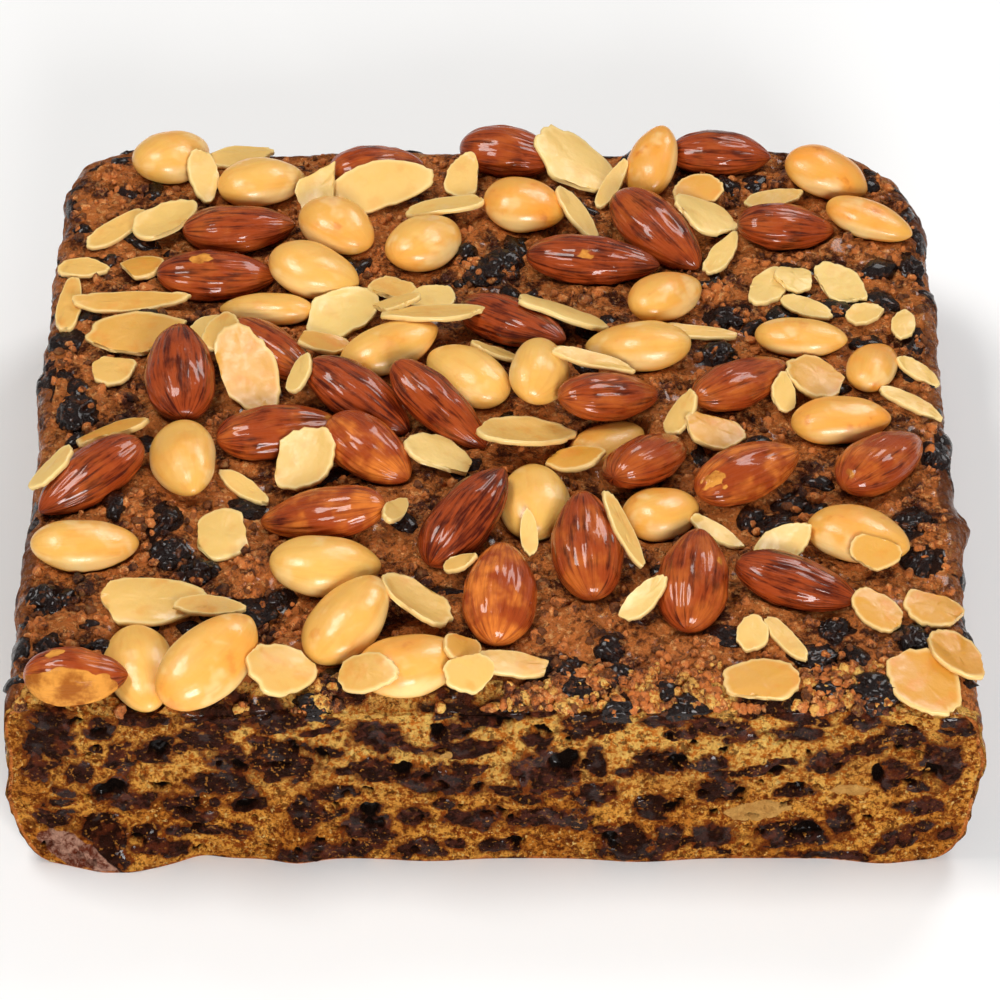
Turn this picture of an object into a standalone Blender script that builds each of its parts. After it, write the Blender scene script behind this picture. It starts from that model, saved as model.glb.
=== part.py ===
"""A square cut of dark fruit cake, topped with whole, blanched and flaked almonds.

The cake stands on z = 0 with its cut face to -Y and its three baked sides to -X, +X and +Y.
Tables of places are in millimetres and degrees, as read from above; the model is in metres.
"""

import math

import bmesh
import bpy
import numpy as np
from mathutils import Matrix, Vector, noise
from mathutils.bvhtree import BVHTree

MM = 0.001

CENTRING = (-0.6, 1.4, 0.0)  # brings the middle of the finished part's box over the origin

# The cake
WIDTH = 180.0
DEPTH = 172.0
HEIGHT = 40.0
DOME = 1.6  # how much higher the middle of the top bakes than its edges
BACK_LEFT_CORNER, BACK_RIGHT_CORNER = 15.0, 24.0  # radii of the baked corners, from above
FOOT_INSET, FOOT_RISE = 7.0, 14.0  # the rounded foot of the baked sides
BROW_INSET, BROW_RISE = 3.5, 4.0  # the rounded top edge of the baked sides
FRONT_BROW, FRONT_BROW_REACH = 2.2, 6.0  # the crumbled top edge of the cut face
CRAG_SIZE, CRAG_HEIGHT = 15.0, 2.0
LUMP_SIZE, LUMP_HEIGHT = 6.0, 1.0
CUT_ROUGHNESS, SIDE_ROUGHNESS = 0.5, 0.6  # of the top's, on the cut face and the baked sides
FOOT_FADE = 8.0  # the height below which the relief dies away towards the flat underside
LOBE_RISE, LOBE_DEPTH = 9.0, 28.0  # how high and how far back a lobe of the foot reaches
# where the foot of the cut face stands forward, or back: across, half width and how far
FRONT_LOBES = (
    (-71, 11, 4.0),
    (-55, 4, -1.2),
    (-37, 5, 1.4),
    (-12, 8, 0.8),
    (28, 9, 1.0),
    (74, 7, 1.4),
)
# lumps of crust on the left (-1) and right (1) sides: side, back, up, half size and how far
SIDE_LUMPS = (
    (1, -32, 35, 4, 2.2),
    (1, -84, 27, 9, 2.0),
    (-1, -84, 17, 8, 1.3),
)
CORE_CUTS = (100, 96, 26)  # splits of the block along X, Y and Z before the relief
CORE_TRIANGLES = 3800

# The toppings
GAP = 0.35  # air between a nut and whatever it lies on
NUT_SINK = 1.7  # how far a nut is pressed into the top
DEEPEST_DENT = 7.0  # how far below the body's plain height a nut may dent it
NUT_SEGMENTS, NUT_RINGS = 8, 6
NUT_THICKNESS = 0.66  # of its width
TIP_SHARPNESS = 0.64  # 0.5 would be an ellipse
SLICED_NUT = "skin_almond_28"  # the one that the knife went through
FLAKE_THICKNESS = 1.6
FLAKE_SINK = 0.5
FLAKE_SEGMENTS = 6
FLAKE_CLEARANCE = 0.45
FLAKE_TIP = 0.97  # how far out its corners reach on the almond's outline
FLAKE_BEND, FLAKE_RAGGEDNESS = 0.8, 0.08
FLAKE_SHRINKS = (1.0, 0.85, 0.7, 0.58)  # sizes that are tried until the flake clears the nuts
FLAT = 0.01  # whatever lies lower than this belongs to the flat underside
SLIVER = 0.001  # edges shorter than this are closed up after the flakes are joined on
CLOUD_RINGS, CLOUD_SEGMENTS = 36, 40  # points of a nut's skin that the settling works with
CELL = 0.5  # of the height maps that the nuts are settled on
MAP_MARGIN = 60  # cells that the maps have over, for what hangs out
SETTLE_TILTS = range(-20, 21, 4)
SETTLE_SHIFTS = (-2.0, -1.0, 0.0, 1.0, 2.0)  # how far a nut may slide off its neighbours
SHIFT_COST, TILT_COST = 0.6, 0.01  # of height, for each millimetre or degree

# across, back, heading of the pointed end, length and width, then where a nut doesn't simply
# lie down, how far it is pressed in and the lean of its tip
SKIN_ALMONDS = (
    (-24.5, 75, 15, 20, 12),
    (3.5, 80, -15, 21, 13),
    (48, 80, -5, 21, 12),
    (-52.5, 54.5, 5, 23, 12),
    (-56.5, 39.5, 3, 24, 12),
    (34, 52.5, -52, 26, 13, 1.7, -8),
    (20.5, 42, -8, 27, 12),
    (60.5, 54, 5, 20, 12),
    (4, 21, -39, 26, 12),
    (-44, 12, -45, 24, 11),
    (-62, 5, 95, 26, 13.5, 1.7, 6),
    (-26.2, -3.2, -38, 25, 12),
    (-10.5, -6, -41, 25, 10.5),
    (49.5, 2.5, 39, 24, 11),
    (23, -4, 25, 22, 12),
    (-42, -12, 12, 24, 12),
    (-24, -19.5, -45, 21, 13),
    (-78, -25, 223, 25, 12),
    (-32.5, -37.5, 172, 25, 12),
    (-5, -39, 57, 26, 12.5, 1.7, 12),
    (30, -22, 55, 23, 13),
    (18, -47, 94, 25, 13, 1.7, 12),
    (1.5, -59.5, 86, 24, 13.5, 1.7, 9),
    (49.5, -25, 37, 24.5, 12),
    (75.5, -20.5, 47, 22.5, 12.5),
    (38, -55.5, 83, 24, 13, 1.7, 10),
    (57.5, -55.5, -17, 23.7, 11.5),
    (-75.8, -81.3, 0, 19, 12, 1, 0),
)
BLANCHED_ALMONDS = (
    (-67.5, 78.5, 40, 17.5, 14),
    (-48.5, 70.5, 20, 18.5, 13),
    (-32, 53, -40, 17.5, 13.5),
    (-36.5, 39.5, -20, 19, 14),
    (-45.8, 28.2, 168, 19.5, 9.5),
    (-14, 49, 55, 19, 14),
    (6.5, 60.5, -20, 17, 14),
    (-19.5, 10.5, 26, 21, 12),
    (-5, 4.5, 135, 20, 13, 2.5, 0),
    (7.2, 2.5, 80, 18, 12, 2.5, 0),
    (29, 12.5, 172, 21, 13),
    (35, 29, 45, 18, 12),
    (70, 72, -15, 18, 13),
    (78, 57, -28, 19, 10),
    (62, 18.5, -12, 18.5, 10),
    (68.5, -8, 5, 19.5, 12),
    (-61, -19.5, -79, 22, 13),
    (-77.7, -43.8, 11, 20.5, 12),
    (-31.5, -51, 8, 21, 14),
    (-27, -67, 58, 21.5, 14, 1.7, 12),
    (-65.5, -75.5, -78, 22, 13, 5.5, 0),
    (-54.3, -78, 50, 24, 14, 1.7, 10),
    (22.5, -12.5, 35, 17, 11, 4.5, 0),
    (32.5, -35.5, 20, 15, 13, 3.5, 0),
    (-15, -77.5, 15, 20, 14),
    (70, -42.5, -20, 20, 13),
    (76, 10, 70, 16, 10),
    (8, -31, 90, 20, 13.5, 5, 0),
    (35.5, 77, 75, 18, 11),
)
# across, back, heading, length, width
FLAKES = (
    (-85, -25, 50, 12, 6),
    (-74.5, -12, 30, 16, 7),
    (-65, -58.5, -3, 24, 12),
    (-39, -79.5, 20, 15, 11),
    (-52, -40.5, 80, 15, 12),
    (-36.5, -22.5, 45, 14, 12),
    (-48, -26, -45, 14, 4.5),
    (-53, -62, 0, 14, 5),
    (-14, -62, -50, 17, 12),
    (-5.5, -76, 60, 10, 7),
    (-23, -83.5, -20, 13, 7),
    (4.5, -77, 5, 15.5, 7),
    (-4, -82.5, 20, 10, 8),
    (6.5, -15, 25, 22, 12),
    (-10, -20, -30, 15, 11),
    (16, -20.5, -10, 13, 8),
    (-18.5, -39, 75, 14, 4),
    (7, -42.5, 95, 10, 3.5),
    (25, -46, -65, 18, 4.5),
    (28.5, -61.5, 40, 12, 5),
    (-6, -53, 0, 7, 4),
    (72.8, -50, 0, 10, 8),
    (55.5, -45, 20, 12, 8),
    (43, -41, -30, 12, 4),
    (37, -8, 60, 11, 6),
    (43.5, -12, 0, 13, 10),
    (57.5, -0.5, 90, 9, 5),
    (64.5, 6, 30, 13, 11),
    (83, -0.5, -25, 14, 4.5),
    (85, 9.5, -30, 10, 4.5),
    (14.8, 23, -5, 21, 9),
    (1, 12, -12, 11.5, 4.5),
    (20, 3.5, -8, 17, 4.5),
    (-11, 20, 3, 22, 8),
    (-30, 26, 55, 20, 11),
    (-34, 14, 20, 13, 7),
    (-20.5, 34.5, 0, 10, 9),
    (-12, 31.5, 50, 10, 8),
    (-9.5, 60.5, 0, 18, 7),
    (-6, 71.5, 80, 12, 8),
    (-23.5, 66, 18, 22, 9),
    (18, 76, -45, 22, 15),
    (25, 69, 60, 14, 4),
    (17.5, 57.5, -60, 15, 6),
    (44.5, 57.5, 0, 15, 11),
    (43, 67, 20, 11, 9),
    (58.5, 65, 15, 13, 5),
    (47, 46, 65, 14, 5),
    (41.5, 20, 0, 17, 4),
    (56, 36, 60, 14, 8),
    (64, 40, 10, 9, 7),
    (71, 36, -60, 16, 8),
    (63.5, 29, -30, 12, 5),
    (75.5, 27, 20, 8, 6),
    (83, 24, 80, 9, 5),
    (-60.5, 70.5, -80, 13, 7),
    (-53, 81.5, 10, 15, 7),
    (-36.5, 66, 60, 16, 9),
    (-78, 56, 45, 16, 6),
    (-67.5, 57, 50, 16, 10),
    (-84, 43, 0, 11, 6),
    (-85.5, 31, 88, 18, 5),
    (-72, 43, 20, 10, 8),
    (-74, 31, 3, 22, 6),
    (-72, 20.5, 15, 20, 12),
    (-76, 10, 35, 10, 8),
    (-57.5, 21, 50, 9, 6),
    (-54, 15, 90, 11, 7),
    (-48.5, 3, -62, 20, 11),
    (-38, 0, 70, 9, 5),
    (73, -62.5, -50, 13, 8),
    (83.5, -60.5, -35, 13, 9),
    (80, -80, -60, 16, 12),
    (86, -74, -55, 13, 9),
    (50.5, -80.5, 0, 15, 9),
    (48.7, -68, 80, 9, 6),
    (55, -70, -60, 14, 4),
)


def fresh_scene():
    """Removes whatever the scene holds."""
    for old in list(bpy.data.objects):
        bpy.data.objects.remove(old, do_unlink=True)


def finish(name, rgb, roughness):
    """A material with one colour, as food is when it's seen from across the room."""
    material = bpy.data.materials.new(name)
    material.use_nodes = True
    shader = material.node_tree.nodes["Principled BSDF"]
    shader.inputs["Base Color"].default_value = (*rgb, 1)
    shader.inputs["Roughness"].default_value = roughness
    shader.inputs["Metallic"].default_value = 0
    return material


def show(name, mesh, material):
    """Links a mesh to the scene as one named object."""
    obj = bpy.data.objects.new(name, mesh)
    mesh.materials.append(material)
    bpy.context.scene.collection.objects.link(obj)
    return obj


def mesh_from(bm, name):
    """A mesh in metres from a bmesh in millimetres, which is freed."""
    bmesh.ops.scale(bm, vec=(MM, MM, MM), verts=bm.verts)
    bmesh.ops.recalc_face_normals(bm, faces=bm.faces)
    mesh = bpy.data.meshes.new(name)
    bm.to_mesh(mesh)
    bm.free()
    return mesh


def arc_inset(inset, rise, height):
    """How far a quarter ellipse stands in at this height below its start."""
    part = min(max(height / rise, 0.0), 1.0)
    return inset * (1 - math.sqrt(1 - part * part))


def side_inset(z):
    """How far the baked sides stand in from the widest outline at height z."""
    foot = arc_inset(FOOT_INSET, FOOT_RISE, FOOT_RISE - z)
    brow = arc_inset(BROW_INSET, BROW_RISE, z - (HEIGHT - BROW_RISE))
    return foot + brow


def crags(x, y, z):
    """The uneven rise and fall of the baked surface, in millimetres."""
    coarse = noise.noise(Vector((x, y, z)) / CRAG_SIZE)
    fine = noise.noise(Vector((x + 40, y, z - 30)) / LUMP_SIZE)
    return CRAG_HEIGHT * coarse + LUMP_HEIGHT * fine


def split_block(bm):
    """Splits a cube along each axis, so that each face becomes a grid."""
    for axis, cuts in enumerate(CORE_CUTS):
        along = [e for e in bm.edges if abs((e.verts[0].co - e.verts[1].co)[axis]) > 0.5]
        bmesh.ops.subdivide_edges(bm, edges=along, cuts=cuts, use_grid_fill=True)


def top_height(x, y):
    """The height of the baked top, which domes, and crumbles away a little at the knife's cut."""
    across, back = 2 * x / WIDTH, 2 * y / DEPTH
    dome = DOME * (1 - across * across) * (1 - back * back)
    near_edge = 1 - max(abs(across), abs(back))
    from_cut = y + DEPTH / 2
    crumbled = FRONT_BROW * max(0.0, 1 - from_cut / FRONT_BROW_REACH) ** 2
    return HEIGHT + dome + crags(x, y, HEIGHT) * min(1.0, 4 * near_edge + 0.3) - crumbled


def front_lobe(x, z):
    """How far the foot of the cut face stands forward here."""
    reach = sum(out * math.exp(-(((x - middle) / half) ** 2)) for middle, half, out in FRONT_LOBES)
    return reach * max(0.0, 1 - (z / LOBE_RISE) ** 2)


def side_lump(side, y, z):
    """How far a lump of crust on this side stands out here."""
    lump = 0.0
    for where, back, up, size, out in SIDE_LUMPS:
        if where == side:
            lump += out * math.exp(-((y - back) ** 2 + (z - up) ** 2) / size ** 2)
    return lump


def bake(corner):
    """The place in the cake of a point on the unit cube."""
    level = 0.5 - 0.5 * math.cos(math.pi * (corner.z + 0.5))
    x, y = corner.x * WIDTH, corner.y * DEPTH
    radius = BACK_LEFT_CORNER if x < 0 else BACK_RIGHT_CORNER
    past_x, past_y = abs(x) - (WIDTH / 2 - radius), y - (DEPTH / 2 - radius)
    if past_x > 0 and past_y > 0:
        rounding = max(past_x, past_y) / math.hypot(past_x, past_y)
        x = math.copysign(WIDTH / 2 - radius + past_x * rounding, x)
        y = DEPTH / 2 - radius + past_y * rounding
    z = level * top_height(x, y)
    relief = crags(x, y, z) * min(z / FOOT_FADE, 1.0)
    inset = side_inset(level * HEIGHT) - SIDE_ROUGHNESS * relief
    from_cut = (y + DEPTH / 2) / DEPTH
    x *= 1 - inset / (WIDTH / 2)
    x += side_lump(math.copysign(1, x), y, z) * (2 * corner.x) ** 9
    y += CUT_ROUGHNESS * relief * (1 - from_cut) - inset * from_cut
    y -= front_lobe(x, z) * max(0.0, 1 - from_cut * DEPTH / LOBE_DEPTH)
    return Vector((x, y, z))


def bake_core():
    """The cake without its toppings, as a fine bmesh in millimetres."""
    bm = bmesh.new()
    bmesh.ops.create_cube(bm, size=1)
    split_block(bm)
    for vert in bm.verts:
        vert.co = bake(vert.co)
    return bm


def almond_profile(along):
    """Half the width of an almond, from -1 at its round end to 1 at its tip."""
    widest = (0.5 - TIP_SHARPNESS) / (0.5 + TIP_SHARPNESS)
    fullest = (1 + widest) ** 0.5 * (1 - widest) ** TIP_SHARPNESS
    return (1 + along) ** 0.5 * (1 - along) ** TIP_SHARPNESS / fullest


def almond_cloud(length, width, rings, segments):
    """Points on an almond that lies along X, in millimetres."""
    polar = (np.arange(rings) + 0.5) * math.pi / rings
    turn = np.arange(segments) * 2 * math.pi / segments
    along = np.cos(polar)[:, None] + 0 * turn
    radius = almond_profile(along)
    side = radius * np.cos(turn) * width / 2
    up = radius * np.sin(turn) * width / 2 * NUT_THICKNESS
    return np.stack([along * length / 2, side, up], -1).reshape(-1, 3)


def turned(points, heading, pitch, roll):
    """Points rolled about X, pitched about Y with the tip up, then headed about Z."""
    turn = Matrix.Rotation(math.radians(heading), 3, "Z")
    turn = turn @ Matrix.Rotation(math.radians(-pitch), 3, "Y")
    turn = turn @ Matrix.Rotation(math.radians(roll), 3, "X")
    return points @ np.array(turn).T


class HeightMap:
    """Heights over the ground plan, in millimetres, one for each cell."""

    def __init__(self, fill):
        self.shape = (int(WIDTH / CELL) + MAP_MARGIN, int(DEPTH / CELL) + MAP_MARGIN)
        self.heights = np.full(self.shape, float(fill))

    def cells(self, points):
        column = np.rint(points[:, 0] / CELL).astype(int) + self.shape[0] // 2
        row = np.rint(points[:, 1] / CELL).astype(int) + self.shape[1] // 2
        return np.clip(column, 1, self.shape[0] - 2), np.clip(row, 1, self.shape[1] - 2)

    def at(self, points):
        return self.heights[self.cells(points)]

    def spread(self, points, keep):
        """Keeps the greater, or the lesser, of the height here and each point's."""
        column, row = self.cells(points)
        for right in (-1, 0, 1):
            for back in (-1, 0, 1):
                keep.at(self.heights, (column + right, row + back), points[:, 2])

    @classmethod
    def of_mesh(cls, tree):
        """The top of a mesh, found by looking straight down at each cell."""
        made = cls(-1.0)
        for column in range(made.shape[0]):
            for row in range(made.shape[1]):
                x = (column - made.shape[0] // 2) * CELL
                y = (row - made.shape[1] // 2) * CELL
                hit = tree.ray_cast(Vector((x, y, 3 * HEIGHT)), Vector((0, 0, -1)))[0]
                if hit is not None:
                    made.heights[column, row] = hit.z
        return made


def lie_down(cloud, ground, x, y, heading, lean=None, shifts=(0.0,)):
    """The lowest lie on the ground near a place: across, back, height, pitch and roll."""
    found = []
    for pitch in SETTLE_TILTS if lean is None else [lean]:
        for roll in SETTLE_TILTS:
            points = turned(cloud, heading, pitch, roll) + (x, y, 0)
            for right in shifts:
                for back in shifts:
                    moved = points + (right, back, 0)
                    height = float((ground.at(moved) - moved[:, 2]).max())
                    cost = TILT_COST * (abs(pitch) + abs(roll)) + SHIFT_COST * math.hypot(right, back)
                    found.append((height + cost, x + right, y + back, height, pitch, roll))
    return min(found)[1:]


def cut_at_front(bm, grow):
    """Cuts off what stands out past the plane of the knife."""
    plane = -DEPTH / 2 - grow
    everything = bm.verts[:] + bm.edges[:] + bm.faces[:]
    made = bmesh.ops.bisect_plane(
        bm, geom=everything, plane_co=(0, plane, 0), plane_no=(0, -1, 0), clear_outer=True
    )
    rim = [e for e in made["geom_cut"] if isinstance(e, bmesh.types.BMEdge)]
    bmesh.ops.contextual_create(bm, geom=rim)


class Nut:
    """One whole almond and how it lies."""

    def __init__(self, name, row):
        self.name = name
        self.x, self.y, self.heading, self.length, self.width = row[:5]
        self.sink, self.lean = row[5:] or (NUT_SINK, None)
        self.cloud = almond_cloud(self.length, self.width, CLOUD_RINGS, CLOUD_SEGMENTS)
        self.z = self.pitch = self.roll = 0

    def settle(self, ground):
        place = (self.x, self.y, self.heading, self.lean, SETTLE_SHIFTS)
        self.x, self.y, self.z, self.pitch, self.roll = lie_down(self.cloud, ground, *place)
        self.z -= self.sink

    def points(self, grow=0.0):
        scale = (self.cloud * (1 + 2 * grow / np.ptp(self.cloud, axis=0))) if grow else self.cloud
        return turned(scale, self.heading, self.pitch, self.roll) + (self.x, self.y, self.z)

    def lift_clear(self, ground):
        """Raises the nut until it clears the ground by the gap."""
        points = self.points()
        self.z += max(0.0, float((ground.at(points) - points[:, 2]).max()) + GAP)

    def bmesh(self, grow=0.0):
        bm = bmesh.new()
        bmesh.ops.create_uvsphere(bm, u_segments=NUT_SEGMENTS, v_segments=NUT_RINGS, radius=1)
        for vert in bm.verts:
            along = vert.co.z
            around = math.hypot(vert.co.x, vert.co.y)
            radius = float(almond_profile(np.float64(along))) / around if around > 1e-6 else 0
            half = self.width / 2 + grow
            vert.co = (
                along * (self.length / 2 + grow),
                vert.co.y * radius * half,
                vert.co.x * radius * (half * NUT_THICKNESS + grow),
            )
        turn = Matrix.Translation((self.x, self.y, self.z))
        turn = turn @ Matrix.Rotation(math.radians(self.heading), 4, "Z")
        turn = turn @ Matrix.Rotation(math.radians(-self.pitch), 4, "Y")
        turn = turn @ Matrix.Rotation(math.radians(self.roll), 4, "X")
        bmesh.ops.transform(bm, matrix=turn, verts=bm.verts)
        if self.name == SLICED_NUT:
            cut_at_front(bm, grow)
        bmesh.ops.triangulate(bm, faces=bm.faces)
        bmesh.ops.recalc_face_normals(bm, faces=bm.faces)
        bm.normal_update()
        return bm


def settle_nuts(core_tree):
    """Lays every nut down clear of the others, the most deeply pressed in first."""
    rows = [(f"skin_almond_{n:02d}", row) for n, row in enumerate(SKIN_ALMONDS, 1)]
    rows += [(f"blanched_almond_{n:02d}", row) for n, row in enumerate(BLANCHED_ALMONDS, 1)]
    nuts = sorted((Nut(*row) for row in rows), key=lambda nut: -nut.sink)
    bare = HeightMap.of_mesh(core_tree)
    nut_tops = HeightMap(-1e3)
    for nut in nuts:
        ground = HeightMap(0)
        ground.heights = np.maximum(bare.heights, nut_tops.heights + nut.sink)
        nut.settle(ground)
        nut_tops.spread(nut.points() + (0, 0, GAP), np.maximum)
    return nuts


def press_in(bm, nuts):
    """Dents the top of the core where nuts lie in it."""
    below = HeightMap(1e6)
    for nut in nuts:
        below.spread(nut.points(grow=GAP), np.minimum)
    top = [v for v in bm.verts if v.co.z > HEIGHT - BROW_RISE - NUT_SINK]
    places = np.array([v.co[:] for v in top])
    for vert, height in zip(top, below.at(places) - GAP):
        vert.co.z = max(min(vert.co.z, float(height)), HEIGHT - DEEPEST_DENT)


def thinned(mesh):
    """The core with as few triangles as its relief needs."""
    obj = bpy.data.objects.new("core", mesh)
    bpy.context.scene.collection.objects.link(obj)
    fewer = obj.modifiers.new("fewer", "DECIMATE")
    fewer.ratio = CORE_TRIANGLES / (2 * len(mesh.polygons))
    fewer.use_collapse_triangulate = True
    graph = bpy.context.evaluated_depsgraph_get()
    made = bpy.data.meshes.new_from_object(obj.evaluated_get(graph))
    bpy.data.objects.remove(obj)
    for vert in made.vertices:
        if vert.co.z < FLAT * MM:
            vert.co.z = 0
    return made


def tree_of(mesh):
    """A mesh in metres as something to look down on, in millimetres."""
    bm = bmesh.new()
    bm.from_mesh(mesh)
    bmesh.ops.scale(bm, vec=(1 / MM,) * 3, verts=bm.verts)
    tree = BVHTree.FromBMesh(bm)
    bm.free()
    return tree


def flake_bmesh(row, seed, shrink):
    """A thin, slightly bent slice of almond that lies along X at the origin."""
    draw = np.random.default_rng(seed)
    length, width = row[3] * shrink, row[4] * shrink
    bm = bmesh.new()
    bmesh.ops.create_circle(bm, cap_ends=True, cap_tris=True, segments=FLAKE_SEGMENTS, radius=1)
    bend = draw.uniform(-FLAKE_BEND, FLAKE_BEND)
    for vert in bm.verts:
        reach = math.hypot(vert.co.x, vert.co.y)
        along = vert.co.x * FLAKE_TIP
        half = float(almond_profile(np.float64(along))) if reach > 0.5 else 0
        side = math.copysign(half, vert.co.y) if abs(vert.co.y) > 0.01 else 0
        ragged = 1 + draw.uniform(-FLAKE_RAGGEDNESS, FLAKE_RAGGEDNESS)
        vert.co = (
            along * length / 2 * ragged,
            side * width / 2 * ragged,
            bend * (1 - along * along),
        )
    made = bmesh.ops.extrude_face_region(bm, geom=bm.faces[:])
    raised = [v for v in made["geom"] if isinstance(v, bmesh.types.BMVert)]
    bmesh.ops.translate(bm, vec=(0, 0, FLAKE_THICKNESS), verts=raised)
    bmesh.ops.triangulate(bm, faces=bm.faces)
    bmesh.ops.recalc_face_normals(bm, faces=bm.faces)
    return bm


def lay_flake(row, seed, ground, nut_trees):
    """The flake as a bmesh on the core, shortened if need be to clear the nuts, or None."""
    x, y, heading = row[:3]
    for shrink in FLAKE_SHRINKS:
        bm = flake_bmesh(row, seed, shrink)
        cloud = np.array([v.co[:] for v in bm.verts])
        _, _, height, pitch, roll = lie_down(cloud, ground, x, y, heading)
        turn = Matrix.Translation((x, y, height - FLAKE_SINK))
        turn = turn @ Matrix.Rotation(math.radians(heading), 4, "Z")
        turn = turn @ Matrix.Rotation(math.radians(-pitch), 4, "Y")
        turn = turn @ Matrix.Rotation(math.radians(roll), 4, "X")
        bmesh.ops.transform(bm, matrix=turn, verts=bm.verts)
        tree = BVHTree.FromBMesh(bm)
        middle = Vector(np.mean([v.co for v in bm.verts], axis=0))
        nearest = [t.find_nearest(middle) for t in nut_trees]
        crossing = any(tree.overlap(t) for t in nut_trees)
        buried = any((place - middle).dot(normal) > 0 for place, normal, *_ in nearest)
        if not crossing and not buried:
            return bm
        bm.free()
    return None


def largest_body(mesh):
    """Drops loose scraps and sealed hollows, which are separate shells."""
    bm = bmesh.new()
    bm.from_mesh(mesh)
    left, shells = set(bm.faces), []
    while left:
        front = [left.pop()]
        shell = list(front)
        while front:
            face = front.pop()
            near = {f for e in face.edges for f in e.link_faces} & left
            left -= near
            front += near
            shell += near
        shells.append(shell)
    keep = set(max(shells, key=len))
    bmesh.ops.delete(bm, geom=[f for f in bm.faces if f not in keep], context="FACES")
    bmesh.ops.remove_doubles(bm, verts=bm.verts, dist=SLIVER * MM)
    bmesh.ops.dissolve_degenerate(bm, edges=bm.edges, dist=SLIVER * MM)
    bmesh.ops.triangulate(bm, faces=bm.faces)
    bm.to_mesh(mesh)
    bm.free()


def fuse_flakes(core, ground, nuts):
    """Joins every flake that fits to the core, with one union."""
    nut_trees = [BVHTree.FromBMesh(nut.bmesh(FLAKE_CLEARANCE)) for nut in nuts]
    shelf = bpy.data.collections.new("flakes")
    bpy.context.scene.collection.children.link(shelf)
    for seed, row in enumerate(FLAKES):
        bm = lay_flake(row, seed, ground, nut_trees)
        if bm is None:
            continue
        obj = bpy.data.objects.new(f"flake_{seed:02d}", mesh_from(bm, "flake"))
        shelf.objects.link(obj)
    print("flakes fused:", len(shelf.objects), "of", len(FLAKES))
    union = core.modifiers.new("flakes", "BOOLEAN")
    union.operation = "UNION"
    union.operand_type = "COLLECTION"
    union.collection = shelf
    union.solver = "EXACT"
    bpy.context.view_layer.update()
    graph = bpy.context.evaluated_depsgraph_get()
    joined = bpy.data.meshes.new_from_object(core.evaluated_get(graph))
    core.modifiers.remove(union)
    core.data = joined
    for obj in list(shelf.objects):
        bpy.data.objects.remove(obj)
    bpy.data.collections.remove(shelf)
    largest_body(joined)


def main():
    fresh_scene()
    crumb = finish("crumb", (0.23, 0.1, 0.035), 0.75)
    skin = finish("almond_skin", (0.3, 0.08, 0.025), 0.4)
    kernel = finish("almond_kernel", (0.85, 0.55, 0.2), 0.35)

    bm = bake_core()
    nuts = settle_nuts(BVHTree.FromBMesh(bm))
    press_in(bm, nuts)
    core_mesh = thinned(mesh_from(bm, "core"))
    bare = HeightMap.of_mesh(tree_of(core_mesh))
    covered = HeightMap(0)
    covered.heights[:] = bare.heights
    for nut in nuts:
        nut.lift_clear(covered)
        covered.spread(nut.points(), np.maximum)

    cake = show("cake", core_mesh, crumb)
    fuse_flakes(cake, bare, nuts)
    for nut in nuts:
        mesh = mesh_from(nut.bmesh(), nut.name)
        show(nut.name, mesh, skin if nut.name.startswith("skin") else kernel)
        mesh.shade_smooth()
    for obj in bpy.data.objects:
        obj.data.transform(Matrix.Translation(Vector(CENTRING) * MM))


main()
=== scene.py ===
"""The looks of a square cut of dark fruit cake under whole, blanched and flaked almonds.

Run as a script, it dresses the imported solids. The tables are in millimetres and degrees, as in
the solids' own plan: the cut face is towards -Y, and the underside lies on z = 0.
"""

import math

import bmesh
import bpy
import numpy as np
from mathutils import Matrix, Vector, noise


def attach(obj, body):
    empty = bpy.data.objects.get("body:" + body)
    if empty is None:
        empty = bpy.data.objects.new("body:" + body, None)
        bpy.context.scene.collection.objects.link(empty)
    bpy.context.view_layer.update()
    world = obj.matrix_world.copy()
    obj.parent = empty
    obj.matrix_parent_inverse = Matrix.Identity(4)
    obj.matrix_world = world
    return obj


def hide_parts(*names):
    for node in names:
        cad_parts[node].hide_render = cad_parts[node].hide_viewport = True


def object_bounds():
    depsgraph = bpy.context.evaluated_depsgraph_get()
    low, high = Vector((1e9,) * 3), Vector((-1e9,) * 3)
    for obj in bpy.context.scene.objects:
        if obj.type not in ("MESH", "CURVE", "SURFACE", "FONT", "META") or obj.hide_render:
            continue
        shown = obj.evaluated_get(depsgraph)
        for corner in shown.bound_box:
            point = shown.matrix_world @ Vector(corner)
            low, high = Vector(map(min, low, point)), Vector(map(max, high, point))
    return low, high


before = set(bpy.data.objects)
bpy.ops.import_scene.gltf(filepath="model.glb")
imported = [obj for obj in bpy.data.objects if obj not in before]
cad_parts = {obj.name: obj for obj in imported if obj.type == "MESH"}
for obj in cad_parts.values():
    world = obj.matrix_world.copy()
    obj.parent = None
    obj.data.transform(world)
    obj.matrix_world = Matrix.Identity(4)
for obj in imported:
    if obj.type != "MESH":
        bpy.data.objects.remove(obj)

bl_info = {
    "name": "Fruit Cake Slice",
    "version": (1, 0, 0),
    "blender": (4, 5, 0),
    "location": "View3D > Sidebar > Cake",
    "description": "Bakes a square cut of fruit cake with almonds around its solids",
    "category": "Add Mesh",
}

MM = 0.001
CAD_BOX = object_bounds()
CENTRING = np.array((-0.6, 1.4, 0.0))    # from the solids' plan to their place
LOW, HIGH = (np.array(corner) / MM - CENTRING for corner in CAD_BOX)

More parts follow.
